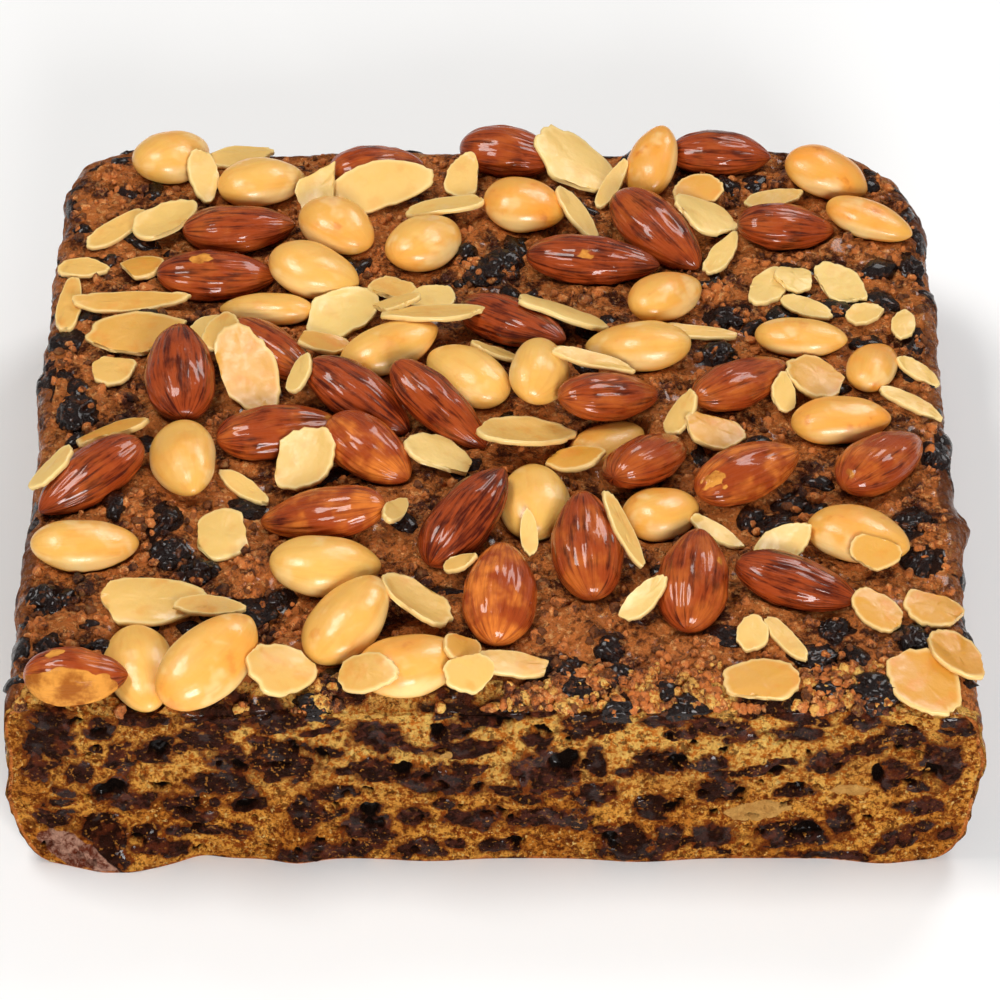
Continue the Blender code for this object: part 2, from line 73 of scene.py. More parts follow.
# The cake, as its solid is baked
WIDTH, DEPTH, HEIGHT = 180.0, 172.0, 40.0
DOME = 1.6
BACK_LEFT_CORNER, BACK_RIGHT_CORNER = 15.0, 24.0
FOOT_INSET, FOOT_RISE = 7.0, 14.0
BROW_INSET, BROW_RISE = 3.5, 4.0
FRONT_BROW, FRONT_BROW_REACH = 2.2, 6.0
CRAG_SIZE, CRAG_HEIGHT = 15.0, 2.0
LUMP_SIZE, LUMP_HEIGHT = 6.0, 1.0
CUT_ROUGHNESS, SIDE_ROUGHNESS = 0.5, 0.6
FOOT_FADE = 8.0
LOBE_RISE, LOBE_DEPTH = 9.0, 28.0
FRONT_LOBES = (
    (-71, 11, 4.0), (-55, 4, -1.2), (-37, 5, 1.4), (-12, 8, 0.8), (28, 9, 1.0), (74, 7, 1.4),
)
SIDE_LUMPS = ((1, -32, 35, 4, 2.2), (1, -84, 27, 9, 2.0), (-1, -84, 17, 8, 1.3))

# Finer things that only show close by
CRUST_CUTS = (218, 208, 48)
CUT_FACE_CUTS = (520, 118)
CUT_FACE_DEPTH = 3.0
FRONT_RECESS, RECESS_RIM = 2.6, 0.9
CUT_FACE_SHARE = 0.4985    # of the width to each side, just inside the crust
AT_FACE = 0.4999    # past it, a corner of the unit cube lies on a face

# Relief, layer by layer: height, size and shift of its noise
CRUST_GRIT = ((0.9, 3.4, 0.0), (0.5, 1.7, 9.0))
FRUIT_EDGE = ((0.42, 3.2, 0.0), (0.3, 1.4, 5.0))
FRUIT_WRINKLE = ((0.4, 1.9, 3.0), (0.2, 0.9, 6.0))

# Segments and rings of the spheres that loose things are shaped from
SKIN_MESH, KERNEL_MESH, FLAKE_MESH = (96, 44), (48, 32), (44, 16)
RAISIN_MESH, CURRANT_MESH, CRUMB_MESH = (48, 30), (9, 6), (7, 5)

# How sharp an almond's tip is: at 0.5 both ends are as round
SKIN_TIP, KERNEL_TIP, FLAKE_TIP = 0.66, 0.6, 0.62
LID = 6    # how soon a flake's top turns flat
GOLDEN_FROM = (12, 26)    # heights between which the cut crumb turns golden
PEEL_PLACE, PEEL_HALVES = (-78, 2.6), (8.0, 4.0)
DEEPEST_DENT, DEEPEST_SEAT = 6.0, 5.0    # below the top, under nuts and under fruit
PAST_CUT = 1.2
FLATTENED = 0.8    # half height of fruit under a flake
SLIVER, MOST_SAG = 6, 1.2    # up to this width a flake stays whole, and the furthest it sags
ROUND_ABOUT = np.array([(0, 0, 0), (1, 0, 0), (-1, 0, 0), (0, 1, 0), (0, -1, 0)])

# How the pieces are worked out
CELL = 0.5    # of the height maps
ROW = 4.0    # between the spheres of a row
TILTS = range(-24, 25, 4)    # of a flake, to try

# The camera: a long lens that looks down at the cut face from the front
CAMERA_ANGLE = 41.0
CAMERA_FROM_EDGE = 848.0
LENS_PIXELS, PICTURE, SENSOR = 4603.0, 1000.0, 36.0
EDGE_PIXEL = (492.0, 705.0)

# The lights, in metres: name, place, size and tint
LIGHTS = (
    ("key", (-0.4, 0.05, 0.9), (0.35, 0.3), (1, 0.98, 0.95)),
    ("back", (0.35, 0.55, 0.7), (0.35, 0.3), (1, 1, 1)),
    ("front", (0.2, -0.95, 0.42), (0.4, 0.3), (1, 1, 1)),
)
LIT_PLACE = Vector((0, 0, 0.03))
FLOOR_HALF = 3    # metres

# Fruit that the knife has cut: across, up, half length, half height, tilt
CUT_FRUIT = (
    (-82, 32, 4.8, 7.2, 0), (-85, 23.5, 2.4, 3.0, 0), (-72.2, 34.3, 2.6, 3, 10),
    (-64.7, 36.6, 4.8, 1.9, 4), (-50.7, 38.4, 5.2, 3, 0), (-40, 36.9, 6, 3.3, -6),
    (-53.5, 31.5, 4.8, 3.4, -10), (-69, 26.4, 2.2, 5, 8), (-62.7, 27.5, 3.2, 3.8, -20),
    (-48.7, 26.4, 3.8, 3.8, 0), (-38.7, 25.3, 6.4, 5.6, 0), (-71.5, 17.8, 3.7, 3.3, 0),
    (-66.6, 15, 4.8, 2.4, 12), (-58.3, 13.9, 3.7, 4, 20), (-50.7, 20, 6, 3, -4),
    (-46.3, 13.9, 4.2, 1.8, 0), (-35.1, 11.6, 3.4, 4.2, 0), (-73.5, 8.8, 4.2, 2.8, -8),
    (-72.7, 2, 3.4, 4.8, -25), (-34.7, 2, 5.4, 2.6, 8), (-54.7, 7.1, 7, 1.4, -4),
    (-82.7, 11, 4, 2.6, -10), (-77, 22.4, 2.5, 3, 0), (-21.3, 32, 5.4, 3.8, -8),
    (-8.3, 33.2, 2.9, 3.2, 0), (-5, 28.8, 7, 2.2, 4), (-1.1, 37, 4.6, 2.8, 6),
    (10.1, 23.2, 6.8, 5.4, 10), (-22, 23.2, 4.6, 3.2, 0), (-9.9, 20.7, 8, 3.8, -4),
    (19.3, 17.3, 5, 2.8, 4), (-23.8, 9.6, 4.6, 4.4, 25), (-15, 11, 3.4, 3.2, 0),
    (-3.9, 10.6, 5.5, 2.8, 0), (10.9, 10.8, 8, 2.6, 2), (-13.8, 2.8, 5.5, 2.3, 8),
    (-26.5, 2.6, 6.3, 2.4, 14), (25.3, 4.4, 5.8, 4, -4), (30, 24.7, 3.8, 3.8, 0),
    (18, 35.4, 5, 4.2, 10), (19.3, 26, 1.7, 4.8, 10), (0.9, 3.2, 3.7, 2.1, 0),
    (41.7, 34.3, 8, 2.7, -14), (48, 38.6, 2.2, 1.8, 0), (58.5, 38.4, 5.5, 2.5, -2),
    (56.9, 32.7, 5.8, 2.1, 0), (68.9, 35.4, 4.2, 2.3, -8), (76.9, 31.5, 4.2, 2.7, -20),
    (84.2, 25, 3.8, 6.6, 0), (75.1, 21.8, 3.4, 3.8, 0), (62.6, 25.4, 4.6, 3, 4),
    (41.1, 25, 3.4, 2, 0), (42.4, 18.4, 4.2, 3.2, 0), (33.5, 25.2, 3.4, 3, 0),
    (57.3, 17.9, 3.8, 2, 0), (81, 13.5, 4.6, 2.3, 0), (65.8, 9.9, 3, 3.8, 0),
    (41.6, 6.7, 4.4, 2.7, -6), (56.3, 6.6, 6.8, 3.8, 0), (33.7, 5.3, 3.2, 3.8, 0),
    (77, 6, 3.8, 2.4, 20), (49.3, 23.3, 6.7, 1.2, 2), (64, 0.8, 7.5, 1.6, 0),
    (31, 36, 4.5, 2, 4), (30.5, 14.5, 4, 2, 0), (-30, 17.5, 4.5, 1.8, 4),
    (-60, 3, 3.2, 1.8, 0), (69.5, 28.5, 4, 1.6, -6), (8, 31.5, 3, 1.6, 0),
)
CUT_HOLLOWS = (
    (-72, 18.6, 3, 2.2, 0), (-50.4, 39.8, 2.6, 1.8, 0), (-62, 28.5, 2, 2.4, 0),
    (-47.6, 24.8, 1.8, 1.6, 0), (-46.3, 14, 2.2, 1.2, 0), (13.6, 25.6, 2.6, 2.6, 0),
    (-22.8, 11.4, 2, 3, 20), (-10, 34, 1.8, 1.8, 0), (-16.8, 23.6, 1.8, 1.8, 0),
    (59, 7.6, 3, 1.8, 0), (34.4, 25.6, 2, 1.4, 0), (72, 22, 1.2, 2.4, 0),
    (82, 22.6, 1.8, 2.6, 0), (-73, 33.6, 1.6, 1.4, 0), (4.6, 4.6, 2.2, 1, 0),
    (-31.6, 27, 1.6, 1.6, 0), (46.6, 17.6, 1.4, 1.4, 0), (22, 6.2, 1.6, 1.4, 0),
)
CUT_NUTS = ((50, 12.5, 6.5, 2.6, 6), (67, 17.8, 4, 1.7, 0), (-8.6, 27.2, 1.5, 1, 40))
SPARE_FRUIT, SPARE_HOLLOWS, EDGE_FRUIT = 100, 110, 28

# Fruit on the baked top: across, back, half length, half width, heading
TOP_FRUIT = (
    (0, 41, 6, 5, 60), (-46, -61.5, 5, 4, 20), (-63, -36, 5, 4, 70), (-62, -45, 4.5, 4, 0),
    (-73.5, -71, 4, 2.8, 0), (-83, -71, 4, 3.5, 80), (-82, -3, 5, 4, 90), (-84, -57, 4, 3, 60),
    (14.5, -78, 6.5, 5.5, 20), (36.5, -83, 5.5, 4, 10), (70, -82, 5, 3.4, 0),
    (53.5, -37, 5, 4, 30), (58, -30, 4, 3.4, 0), (81, -36, 5, 4, 70), (86.5, -16, 4, 3, 90),
    (82, -46, 5, 3.6, 60), (79, -68, 5, 3.4, 120), (86, 45, 4.5, 3, 90), (48, 27, 5, 4, 0),
    (45, 14, 4.5, 3.6, 50), (-86, -40, 4, 3, 90), (-56, -51, 4, 3, 0), (-40, -58, 3.4, 3, 0),
    (60, -73, 4.5, 3, 0), (-86, 20, 4, 3, 90), (-47, -31, 4, 3, 0), (64, -66, 3.6, 3, 30),
    (-85, -85, 3.4, 2.6, 90), (23, -84.5, 4.5, 2.2, 0), (-33, -84.5, 4, 2, 0),
)
SPARE_TOP_FRUIT, SIDE_FRUIT, CRUMBS = 260, 150, 6000

# How fair each glazed almond's skin is, and how toasted each blanched one
FAIRNESS = (
    0.4, 0.35, 0.3, 0.4, 0.35, 0.35, 0.2, 0.3, 0.1, 0.5, 0.2, 0.15, 0.3, 0.5,
    0.45, 0.45, 0.8, 0.35, 0.75, 0.05, 0.4, 0.5, 0.9, 0.8, 0.6, 0.45, 0.1, 0.5,
)
TOASTING = (
    0.35, 0.2, 0.6, 0.15, 0.3, 0.3, 0.8, 0.35, 0.15, 0.15, 0.35, 0.5, 0.75, 0.6, 0.45,
    0.7, 0.3, 0.3, 0.15, 0.4, 0.2, 0.45, 0.4, 0.5, 0.5, 0.65, 0.6, 0.15, 0.9,
)
# Nicks in the skins: the almond's number, along it, across it and how large
SLICED_NUT = "skin_almond_28"
NICKS = {
    5: (-0.26, 0.1, 1.2), 7: (-0.1, -0.5, 1.0), 16: (0.86, 0.1, 1.0), 24: (-0.8, -0.1, 1.3),
    25: (-0.94, 0.0, 0.9), 26: (0.25, -0.8, 0.8), 28: (-0.4, 0.6, 1.0),
}

# Flaked almonds: across, back, heading, length, width, and how golden each is toasted
FLAKES = (
    (-85, -25, 50, 12, 6, 0.2), (-74.5, -12, 30, 16, 7, 0.9), (-65, -58.5, -3, 24, 12.5, 0.4),
    (-39, -79.5, 20, 15, 11, 0.5), (-52, -40.5, 80, 15, 12, 0.3), (-36.5, -22.5, 45, 15, 13, 0.3),
    (-48, -26, -45, 14, 4.5, 0.3), (-53, -62, 0, 14, 5, 0.5), (-14, -62, -50, 17, 12, 0.4),
    (-5.5, -76, 60, 10, 7, 0.9), (-23, -83.5, -20, 13, 8, 0.6), (4.5, -77, 5, 15.5, 7, 0.5),
    (-4, -82.5, 20, 10, 8, 0.4), (6.5, -15, 25, 22, 12.5, 0.45), (-10, -20, -30, 15, 12, 0.1),
    (16, -20.5, -10, 13, 8, 0.9), (-18.5, -39, 75, 14, 4, 0.3), (7, -42.5, 95, 10, 3.5, 0.2),
    (25, -46, -65, 18, 4.5, 0.4), (28.5, -61.5, 40, 12, 5.5, 0.1), (-6, -53, 0, 7, 4, 0.5),
    (72.8, -50, 0, 10, 8, 0.8), (55.5, -45, 20, 12, 8, 0.2), (43, -41, -30, 12, 4, 0.3),
    (37, -8, 60, 11, 6, 0.3), (43.5, -12, 0, 13, 10, 0.85), (57.5, -0.5, 90, 9, 5, 0.2),
    (64.5, 6, 30, 13, 12, 0.8), (83, -0.5, -25, 14, 4.5, 0.3), (85, 9.5, -30, 10, 4.5, 0.3),
    (14.8, 23, -5, 21, 9.5, 0.15), (1, 12, -12, 11.5, 4.5, 0.3), (20, 3.5, -8, 17, 4.5, 0.4),
    (-11, 20, 3, 22, 8.5, 0.4), (-30, 26, 55, 20, 12, 0.1), (-34, 14, 20, 13, 7, 0.8),
    (-20.5, 34.5, 0, 10, 9, 0.4), (-12, 31.5, 50, 10, 9, 0.15), (-19.5, 25, 20, 11, 8, 0.3),
    (-9.5, 60.5, 0, 18, 8, 0.3), (-6, 71.5, 80, 12, 8, 0.35), (-23.5, 67, 18, 24, 11, 0.3),
    (18, 76, -45, 22, 15.5, 0.2), (25, 69, 60, 14, 4, 0.3), (17.5, 57.5, -60, 16, 6, 0.3),
    (44.5, 57.5, 0, 15, 12, 0.1), (43, 67, 20, 11, 9, 0.9), (58.5, 65, 15, 13, 5, 0.4),
    (47, 46, 65, 15, 5, 0.2), (41.5, 20, 0, 17, 4, 0.4), (56, 36, 60, 14, 8, 0.1),
    (62, 38, 10, 9, 8, 0.1), (71, 36, -60, 16, 9, 0.1), (63.5, 29, -30, 12, 5, 0.2),
    (75.5, 27, 20, 8, 6, 0.3), (83, 24, 80, 9, 5, 0.3), (-60.5, 70.5, -80, 13, 7, 0.2),
    (-53, 81.5, 10, 15, 8, 0.3), (-36.5, 66, 60, 16, 9, 0.15), (-78, 56, 45, 16, 6, 0.5),
    (-67.5, 57, 50, 16, 11, 0.3), (-84, 43, 0, 11, 6, 0.5), (-86, 31, 88, 18, 5, 0.6),
    (-72, 43, 20, 10, 9, 0.9), (-74, 31, 3, 24, 6, 0.7), (-72, 20.5, 15, 21, 13, 0.75),
    (-76, 10, 35, 10, 9, 0.5), (-57.5, 21, 50, 9, 6, 0.3), (-54, 15, 90, 12, 8, 0.5),
    (-48.5, 4, -62, 22, 12, 0.8), (-38, 0, 70, 9, 5, 0.2), (73, -62.5, -50, 13, 8, 0.9),
    (83.5, -60.5, -35, 13, 10, 0.9), (80, -80.5, -60, 17, 13, 0.95), (86.5, -74, -55, 14, 10, 1.0),
    (50.5, -80, 0, 15, 11, 0.85), (48.7, -68, 80, 9, 6, 0.3), (55, -70, -60, 14, 4, 0.4),
)


def screen(red, green, blue):
    """A colour as it shows on a screen, 0 to 255, in the shader's linear values."""
    parts = [value / 255 for value in (red, green, blue)]
    return tuple(p / 12.92 if p <= 0.04045 else ((p + 0.055) / 1.055) ** 2.4 for p in parts)


def colour(name, description, red, green, blue):
    """A colour that a user can change."""
    shown = screen(red, green, blue)
    return bpy.props.FloatVectorProperty(
        name=name, description=description, default=shown, subtype="COLOR", size=3, min=0, max=1
    )


def length(name, description, default):
    """A length in metres that a user can change."""
    return bpy.props.FloatProperty(
        name=name, description=description, default=default, unit="LENGTH", precision=5
    )


class CakeSettings(bpy.types.PropertyGroup):
    """The crumb, the crust and the fruit."""

    # Painted highlight: the colour of the lit, raised grains of the cut crumb
    crumb_highlight: colour("Crumb", "Lit grains of the cut crumb", 247, 172, 72)
    crumb_deep: colour("Deep crumb", "Crumb between the grains", 150, 68, 18)
    crust: colour("Crust", "The baked brown surface", 220, 126, 60)
    crust_dark: colour("Dark crust", "Where it has baked darkest", 76, 28, 9)
    # Painted highlight: the colour of the lit tops of the crust's raised grains
    crust_highlight: colour("Crust highlight", "Painted highlight on the raised grains of the crust", 250, 178, 108)
    fruit: colour("Fruit", "Raisins and currants", 32, 10, 5)
    fruit_plum: colour("Plum fruit", "Fruit cut through its flesh", 84, 42, 32)
    grain: length("Grain", "Size of the crumb's grains", 0.0009)
    grain_depth: length("Grain depth", "How far the grains stand out", 0.00038)


class NutSettings(bpy.types.PropertyGroup):
    """The whole and the flaked almonds."""

    skin: colour("Skin", "Glazed brown skin", 158, 64, 23)
    skin_dark: colour("Dark skin", "Skin in its furrows", 78, 20, 6)
    skin_light: colour("Light skin", "Skin where it is thin", 230, 130, 50)
    kernel: colour("Kernel", "Blanched almond", 240, 190, 98)
    kernel_toasted: colour("Toasted kernel", "Where it is toasted", 234, 162, 62)
    flake_pale: colour("Pale flake", "Untoasted flake", 243, 206, 124)
    flake_golden: colour("Golden flake", "Toasted flake", 218, 150, 44)
    ridge: length("Ridge", "Height of the skin's ridges", 0.00029)
    flake_thickness: length("Flake thickness", "Thickness of a flake", 0.00105)


class StudioSettings(bpy.types.PropertyGroup):
    """The floor and the light."""

    floor: colour("Floor", "The pale floor", 253, 253, 253)
    key_power: bpy.props.FloatProperty(
        name="Key light", description="Power of the large light", default=4.6, unit="POWER"
    )
    back_power: bpy.props.FloatProperty(
        name="Back light", description="Power of the light behind", default=2.6, unit="POWER"
    )
    front_power: bpy.props.FloatProperty(
        name="Front light", description="Power of the light on the cut", default=8.5, unit="POWER"
    )
    sky: bpy.props.FloatProperty(
        name="Sky", description="Strength of the white surroundings", default=0.19
    )


def smooth(value, low, high):
    """0 below low, 1 above high and an even curve between."""
    part = np.clip((value - low) / (high - low), 0, 1)
    return part * part * (3 - 2 * part)


def noise_at(points, size, shift=0.0):
    """Noise of about -1 to 1 at each point, with features of this size."""
    return np.array([noise.noise(Vector(p)) for p in points / size + shift])


def relief_at(points, layers):
    """The height at each point of noise in layers."""
    return sum(height * noise_at(points, size, shift) for height, size, shift in layers)


def arc_inset(inset, rise, height):
    """How far a quarter ellipse stands in at this height below its start."""
    part = min(max(height / rise, 0.0), 1.0)
    return inset * (1 - math.sqrt(1 - part * part))


def side_inset(z):
    """How far the baked sides stand in from the widest outline at height z."""
    foot = arc_inset(FOOT_INSET, FOOT_RISE, FOOT_RISE - z)
    brow = arc_inset(BROW_INSET, BROW_RISE, z - (HEIGHT - BROW_RISE))
    return foot + brow


def crags(x, y, z):
    """The uneven rise and fall of the baked surface."""
    coarse = noise.noise(Vector((x, y, z)) / CRAG_SIZE)
    fine = noise.noise(Vector((x + 40, y, z - 30)) / LUMP_SIZE)
    return CRAG_HEIGHT * coarse + LUMP_HEIGHT * fine


def top_height(x, y):
    """The height of the baked top."""
    across, back = 2 * x / WIDTH, 2 * y / DEPTH
    dome = DOME * (1 - across * across) * (1 - back * back)
    near_edge = 1 - max(abs(across), abs(back))
    crumbled = FRONT_BROW * max(0.0, 1 - (y + DEPTH / 2) / FRONT_BROW_REACH) ** 2
    return HEIGHT + dome + crags(x, y, HEIGHT) * min(1.0, 4 * near_edge + 0.3) - crumbled


def front_lobe(x, z):
    """How far the foot of the cut face stands forward here."""
    reach = sum(out * math.exp(-(((x - middle) / half) ** 2)) for middle, half, out in FRONT_LOBES)
    return reach * max(0.0, 1 - (z / LOBE_RISE) ** 2)


def side_lump(side, y, z):
    """How far a lump of crust on this side stands out here."""
    lump = 0.0
    for where, back, up, size, out in SIDE_LUMPS:
        if where == side:
            lump += out * math.exp(-((y - back) ** 2 + (z - up) ** 2) / size ** 2)
    return lump


def bake(corner):
    """The place in the cake of a point on the unit cube."""
    level = 0.5 - 0.5 * math.cos(math.pi * (corner[2] + 0.5))
    x, y = corner[0] * WIDTH, corner[1] * DEPTH
    radius = BACK_LEFT_CORNER if x < 0 else BACK_RIGHT_CORNER
    past_x, past_y = abs(x) - (WIDTH / 2 - radius), y - (DEPTH / 2 - radius)
    if past_x > 0 and past_y > 0:
        rounding = max(past_x, past_y) / math.hypot(past_x, past_y)
        x = math.copysign(WIDTH / 2 - radius + past_x * rounding, x)
        y = DEPTH / 2 - radius + past_y * rounding
    z = level * top_height(x, y)
    relief = crags(x, y, z) * min(z / FOOT_FADE, 1.0)
    inset = side_inset(level * HEIGHT) - SIDE_ROUGHNESS * relief
    from_cut = (y + DEPTH / 2) / DEPTH
    x *= 1 - inset / (WIDTH / 2)
    x += side_lump(math.copysign(1, x), y, z) * (2 * corner[0]) ** 9
    y += CUT_ROUGHNESS * relief * (1 - from_cut) - inset * from_cut
    y -= front_lobe(x, z) * max(0.0, 1 - from_cut * DEPTH / LOBE_DEPTH)
    return x, y, z


def blob_field(across, up, rows, wobble):
    """How deep inside the nearest of some tilted ellipses each point is, and which it is."""
    best = np.full(len(across), -9.0)
    which = np.zeros(len(across), int)
    for index, (x, z, long, short, tilt) in enumerate(rows):
        near = np.nonzero((abs(across - x) < 2 * long + short) & (abs(up - z) < 2 * short + long))[0]
        turn = math.radians(tilt)
        dx, dz = across[near] - x, up[near] - z
        along = (dx * math.cos(turn) + dz * math.sin(turn)) / long
        aside = (dz * math.cos(turn) - dx * math.sin(turn)) / short
        depth = 1 - np.hypot(along, aside) + wobble[near]
        better = depth > best[near]
        best[near[better]] = depth[better]
        which[near[better]] = index
    return best, which


class HeightMap:
    """The height of the top of what lies at each cell of the plan."""

    def __init__(self, fill):
        self.shape = (int(WIDTH / CELL) + 60, int(DEPTH / CELL) + 60)
        self.heights = np.full(self.shape, float(fill))

    def cells(self, points):
        column = np.rint(points[:, 0] / CELL).astype(int) + self.shape[0] // 2
        row = np.rint(points[:, 1] / CELL).astype(int) + self.shape[1] // 2
        return np.clip(column, 1, self.shape[0] - 2), np.clip(row, 1, self.shape[1] - 2)

    def at(self, points):
        return self.heights[self.cells(points)]

    def spread(self, points, keep):
        """Keeps the greater, or the lesser, of the height here and each point's."""
        column, row = self.cells(points)
        for right in (-1, 0, 1):
            for back in (-1, 0, 1):
                keep.at(self.heights, (column + right, row + back), points[:, 2])


class Kitchen:
    """What one step leaves for the next: heights of the top, and of the nuts on it."""

    crust = HeightMap(-1e3)
    nuts = HeightMap(-1e3)
    under_nuts = HeightMap(1e3)
    flakes = HeightMap(-1e3)


def spheres(count, segments, rings):
    """A row of spheres of radius 1, the vertices of each, and their places on it."""
    bm = bmesh.new()
    bmesh.ops.create_uvsphere(bm, u_segments=segments, v_segments=rings, radius=1)
    made = 1
    while made < count:
        copied = bmesh.ops.duplicate(bm, geom=bm.verts[:] + bm.edges[:] + bm.faces[:])["geom"]
        fresh = [v for v in copied if isinstance(v, bmesh.types.BMVert)]
        bmesh.ops.translate(bm, vec=(made * ROW, 0, 0), verts=fresh)
        made *= 2
    spare = [v for v in bm.verts if v.co.x > (count - 0.5) * ROW]
    bmesh.ops.delete(bm, geom=spare, context="VERTS")
    places = np.array([v.co for v in bm.verts])
    which = np.rint(places[:, 0] / ROW).astype(int)
    places[:, 0] -= ROW * which
    return bm, np.argsort(which, kind="stable").reshape(count, -1), places


class Finish:
    """A node material, built up one node at a time."""

    def __init__(self, name):
        self.material = bpy.data.materials.new(name)
        self.material.use_nodes = True
        self.tree = self.material.node_tree
        self.shader = self.tree.nodes["Principled BSDF"]
        self.place = self.node("ShaderNodeTexCoord").outputs["Object"]

    def node(self, kind, **settings):
        made = self.tree.nodes.new(kind)
        for name, value in settings.items():
            setattr(made, name, value)
        return made

    def feed(self, socket, value):
        """Links a socket's source to it, or sets its value."""
        if isinstance(value, bpy.types.NodeSocket):
            self.tree.links.new(value, socket)
        elif isinstance(value, tuple) and len(value) == 3 and len(socket.default_value) == 4:
            socket.default_value = (*value, 1)
        else:
            socket.default_value = value

    def attribute(self, name, output="Fac"):
        return self.node("ShaderNodeAttribute", attribute_name=name).outputs[output]

    def noise(self, size, detail=3.0, place=None, distortion=0.0, roughness=0.5):
        made = self.node("ShaderNodeTexNoise")
        made.inputs["Roughness"].default_value = roughness
        self.feed(made.inputs["Vector"], place or self.place)
        made.inputs["Scale"].default_value = 1 / size
        made.inputs["Detail"].default_value = detail
        made.inputs["Distortion"].default_value = distortion
        return made.outputs["Fac"]

    def math(self, operation, first, second):
        made = self.node("ShaderNodeMath", operation=operation)
        self.feed(made.inputs[0], first)
        self.feed(made.inputs[1], second)
        return made.outputs[0]

    def plus(self, first, second):
        return self.math("ADD", first, second)

    def times(self, first, second):
        return self.math("MULTIPLY", first, second)

    def between(self, value, low, high, to_low=0.0, to_high=1.0):
        """The value's smooth way from low to high."""
        made = self.node("ShaderNodeMapRange", interpolation_type="SMOOTHSTEP")
        for socket, given in zip(made.inputs, (value, low, high, to_low, to_high)):
            self.feed(socket, given)
        return made.outputs[0]

    def patches(self, size, detail, low, high, to_low=0.0, to_high=1.0, **look):
        """Soft patches of noise, from to_low at its low to to_high at its high."""
        return self.between(self.noise(size, detail, **look), low, high, to_low, to_high)

    def mix(self, factor, first, second):
        made = self.node("ShaderNodeMix", data_type="RGBA")
        self.feed(made.inputs[0], factor)
        self.feed(made.inputs[6], first)
        self.feed(made.inputs[7], second)
        return made.outputs[2]

    def bump(self, height, distance, strength=1.0, normal=None):
        made = self.node("ShaderNodeBump")
        made.inputs["Strength"].default_value = strength
        made.inputs["Distance"].default_value = distance
        self.feed(made.inputs["Height"], height)
        if normal is not None:
            self.feed(made.inputs["Normal"], normal)
        return made.outputs["Normal"]

    def set(self, **sockets):
        """Sets or links the shader's own sockets, named with _ for a space."""
        for name, value in sockets.items():
            self.feed(self.shader.inputs[name.replace("_", " ")], value)
        return self.material


def piece(name, bm, material, replaced):
    """Turns a bmesh in millimetres into a finished piece that stands for some solids."""
    for vert in bm.verts:
        vert.co = np.clip(vert.co, LOW, HIGH)
    bmesh.ops.translate(bm, vec=CENTRING, verts=bm.verts)
    bmesh.ops.scale(bm, vec=(MM, MM, MM), verts=bm.verts)
    mesh = bpy.data.meshes.new(name)
    bm.to_mesh(mesh)
    bm.free()
    mesh.shade_smooth()
    mesh.materials.append(material)
    obj = bpy.data.objects.new(name, mesh)
    bpy.context.scene.collection.objects.link(obj)
    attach(obj, "root")
    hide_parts(*replaced)
    return obj


def put(bm, places):
    """Moves each vertex to its place."""
    for vert, place in zip(bm.verts, places):
        vert.co = place


def write_floats(bm, name, values):
    """Gives each vertex a number that a material can read."""
    layer = bm.verts.layers.float.new(name)
    for vert, value in zip(bm.verts, values):
        vert[layer] = float(value)


def crumb_colour(finish, cake):
    """Golden grains with a painted highlight on the raised ones and small painted glints, browner
    between them, with painted shade in the pores.
    """
    grain = finish.noise(0.0015, 5.0, roughness=0.7)
    specks = finish.noise(0.0006, 3.0)
    # Painted highlight: the raised grains take a lit colour, and the crumb between them keeps its own
    lit = finish.between(finish.plus(grain, finish.times(specks, 0.5)), 0.64, 0.84)
    deep = finish.mix(finish.attribute("golden"), tuple(cake.crumb_deep), screen(220, 122, 38))
    light = finish.mix(finish.attribute("golden"), tuple(cake.crumb_highlight), screen(255, 204, 106))
    crumb = finish.mix(lit, deep, light)
    warm = finish.patches(0.011, 3.0, 0.42, 0.6)
    # Browner patches of crumb, whose raised grains again get a painted highlight
    baked = finish.mix(lit, screen(112, 50, 14), screen(206, 122, 40))
    cooler = finish.math("SUBTRACT", 0.85, finish.times(finish.attribute("golden"), 0.6))
    crumb = finish.mix(finish.times(warm, cooler), crumb, baked)
    # Painted highlight: small glints painted near white on the grains
    painted_glints = finish.patches(0.0009, 3.0, 0.6, 0.7)
    crumb = finish.mix(finish.times(painted_glints, 0.9), crumb, screen(255, 214, 126))
    # Painted shade: the pores are painted dark, as the shade inside them
    pore_shade = finish.patches(0.0018, 5.0, 0.48, 0.4, roughness=0.72)
    return finish.mix(finish.times(pore_shade, 0.8), crumb, screen(88, 36, 12))


def flesh_colour(finish, cake):
    """Nearly black fruit, streaked with plum and dusted with crumbs."""
    streaks = finish.patches(0.0018, 5.0, 0.42, 0.62, distortion=0.8)
    toned = finish.times(streaks, finish.between(finish.attribute("tone"), 0, 1, 0.25, 1))
    flesh = finish.mix(toned, tuple(cake.fruit), tuple(cake.fruit_plum))
    reddish = finish.patches(0.0032, 4.0, 0.54, 0.66)
    flesh = finish.mix(finish.times(reddish, 0.8), flesh, screen(104, 46, 24))
    dusted = finish.patches(0.0008, 2.0, 0.6, 0.66)
    dust = finish.times(dusted, finish.attribute("dust"))
    return finish.mix(dust, flesh, screen(190, 124, 50))


def fruity_crumb(finish, cake):
    """The cut cake's colour, and how far each place is fruit."""
    crumb = crumb_colour(finish, cake)
    fray = finish.math("SUBTRACT", finish.noise(0.0018, 5.0, roughness=0.7), 0.5)
    field = finish.plus(finish.attribute("fruit"), finish.times(fray, 1.7))
    # The crumb turns darker and browner towards the fruit
    darker_near_fruit = finish.mix(finish.between(field, 0.12, 0.56, 0, 0.9), crumb, screen(122, 56, 22))
    fruity = finish.between(field, 0.55, 0.65)
    return finish.mix(fruity, darker_near_fruit, flesh_colour(finish, cake)), fruity


def peel_colour(finish):
    """The pale, papery foot of the crust, with painted shade and light of its folds: darker in the
    creases, paler where they stand out.
    """
    fold_shading = finish.patches(0.0016, 5.0, 0.38, 0.62, distortion=0.4, roughness=0.7)
    return finish.mix(fold_shading, screen(112, 50, 32), screen(206, 156, 132))


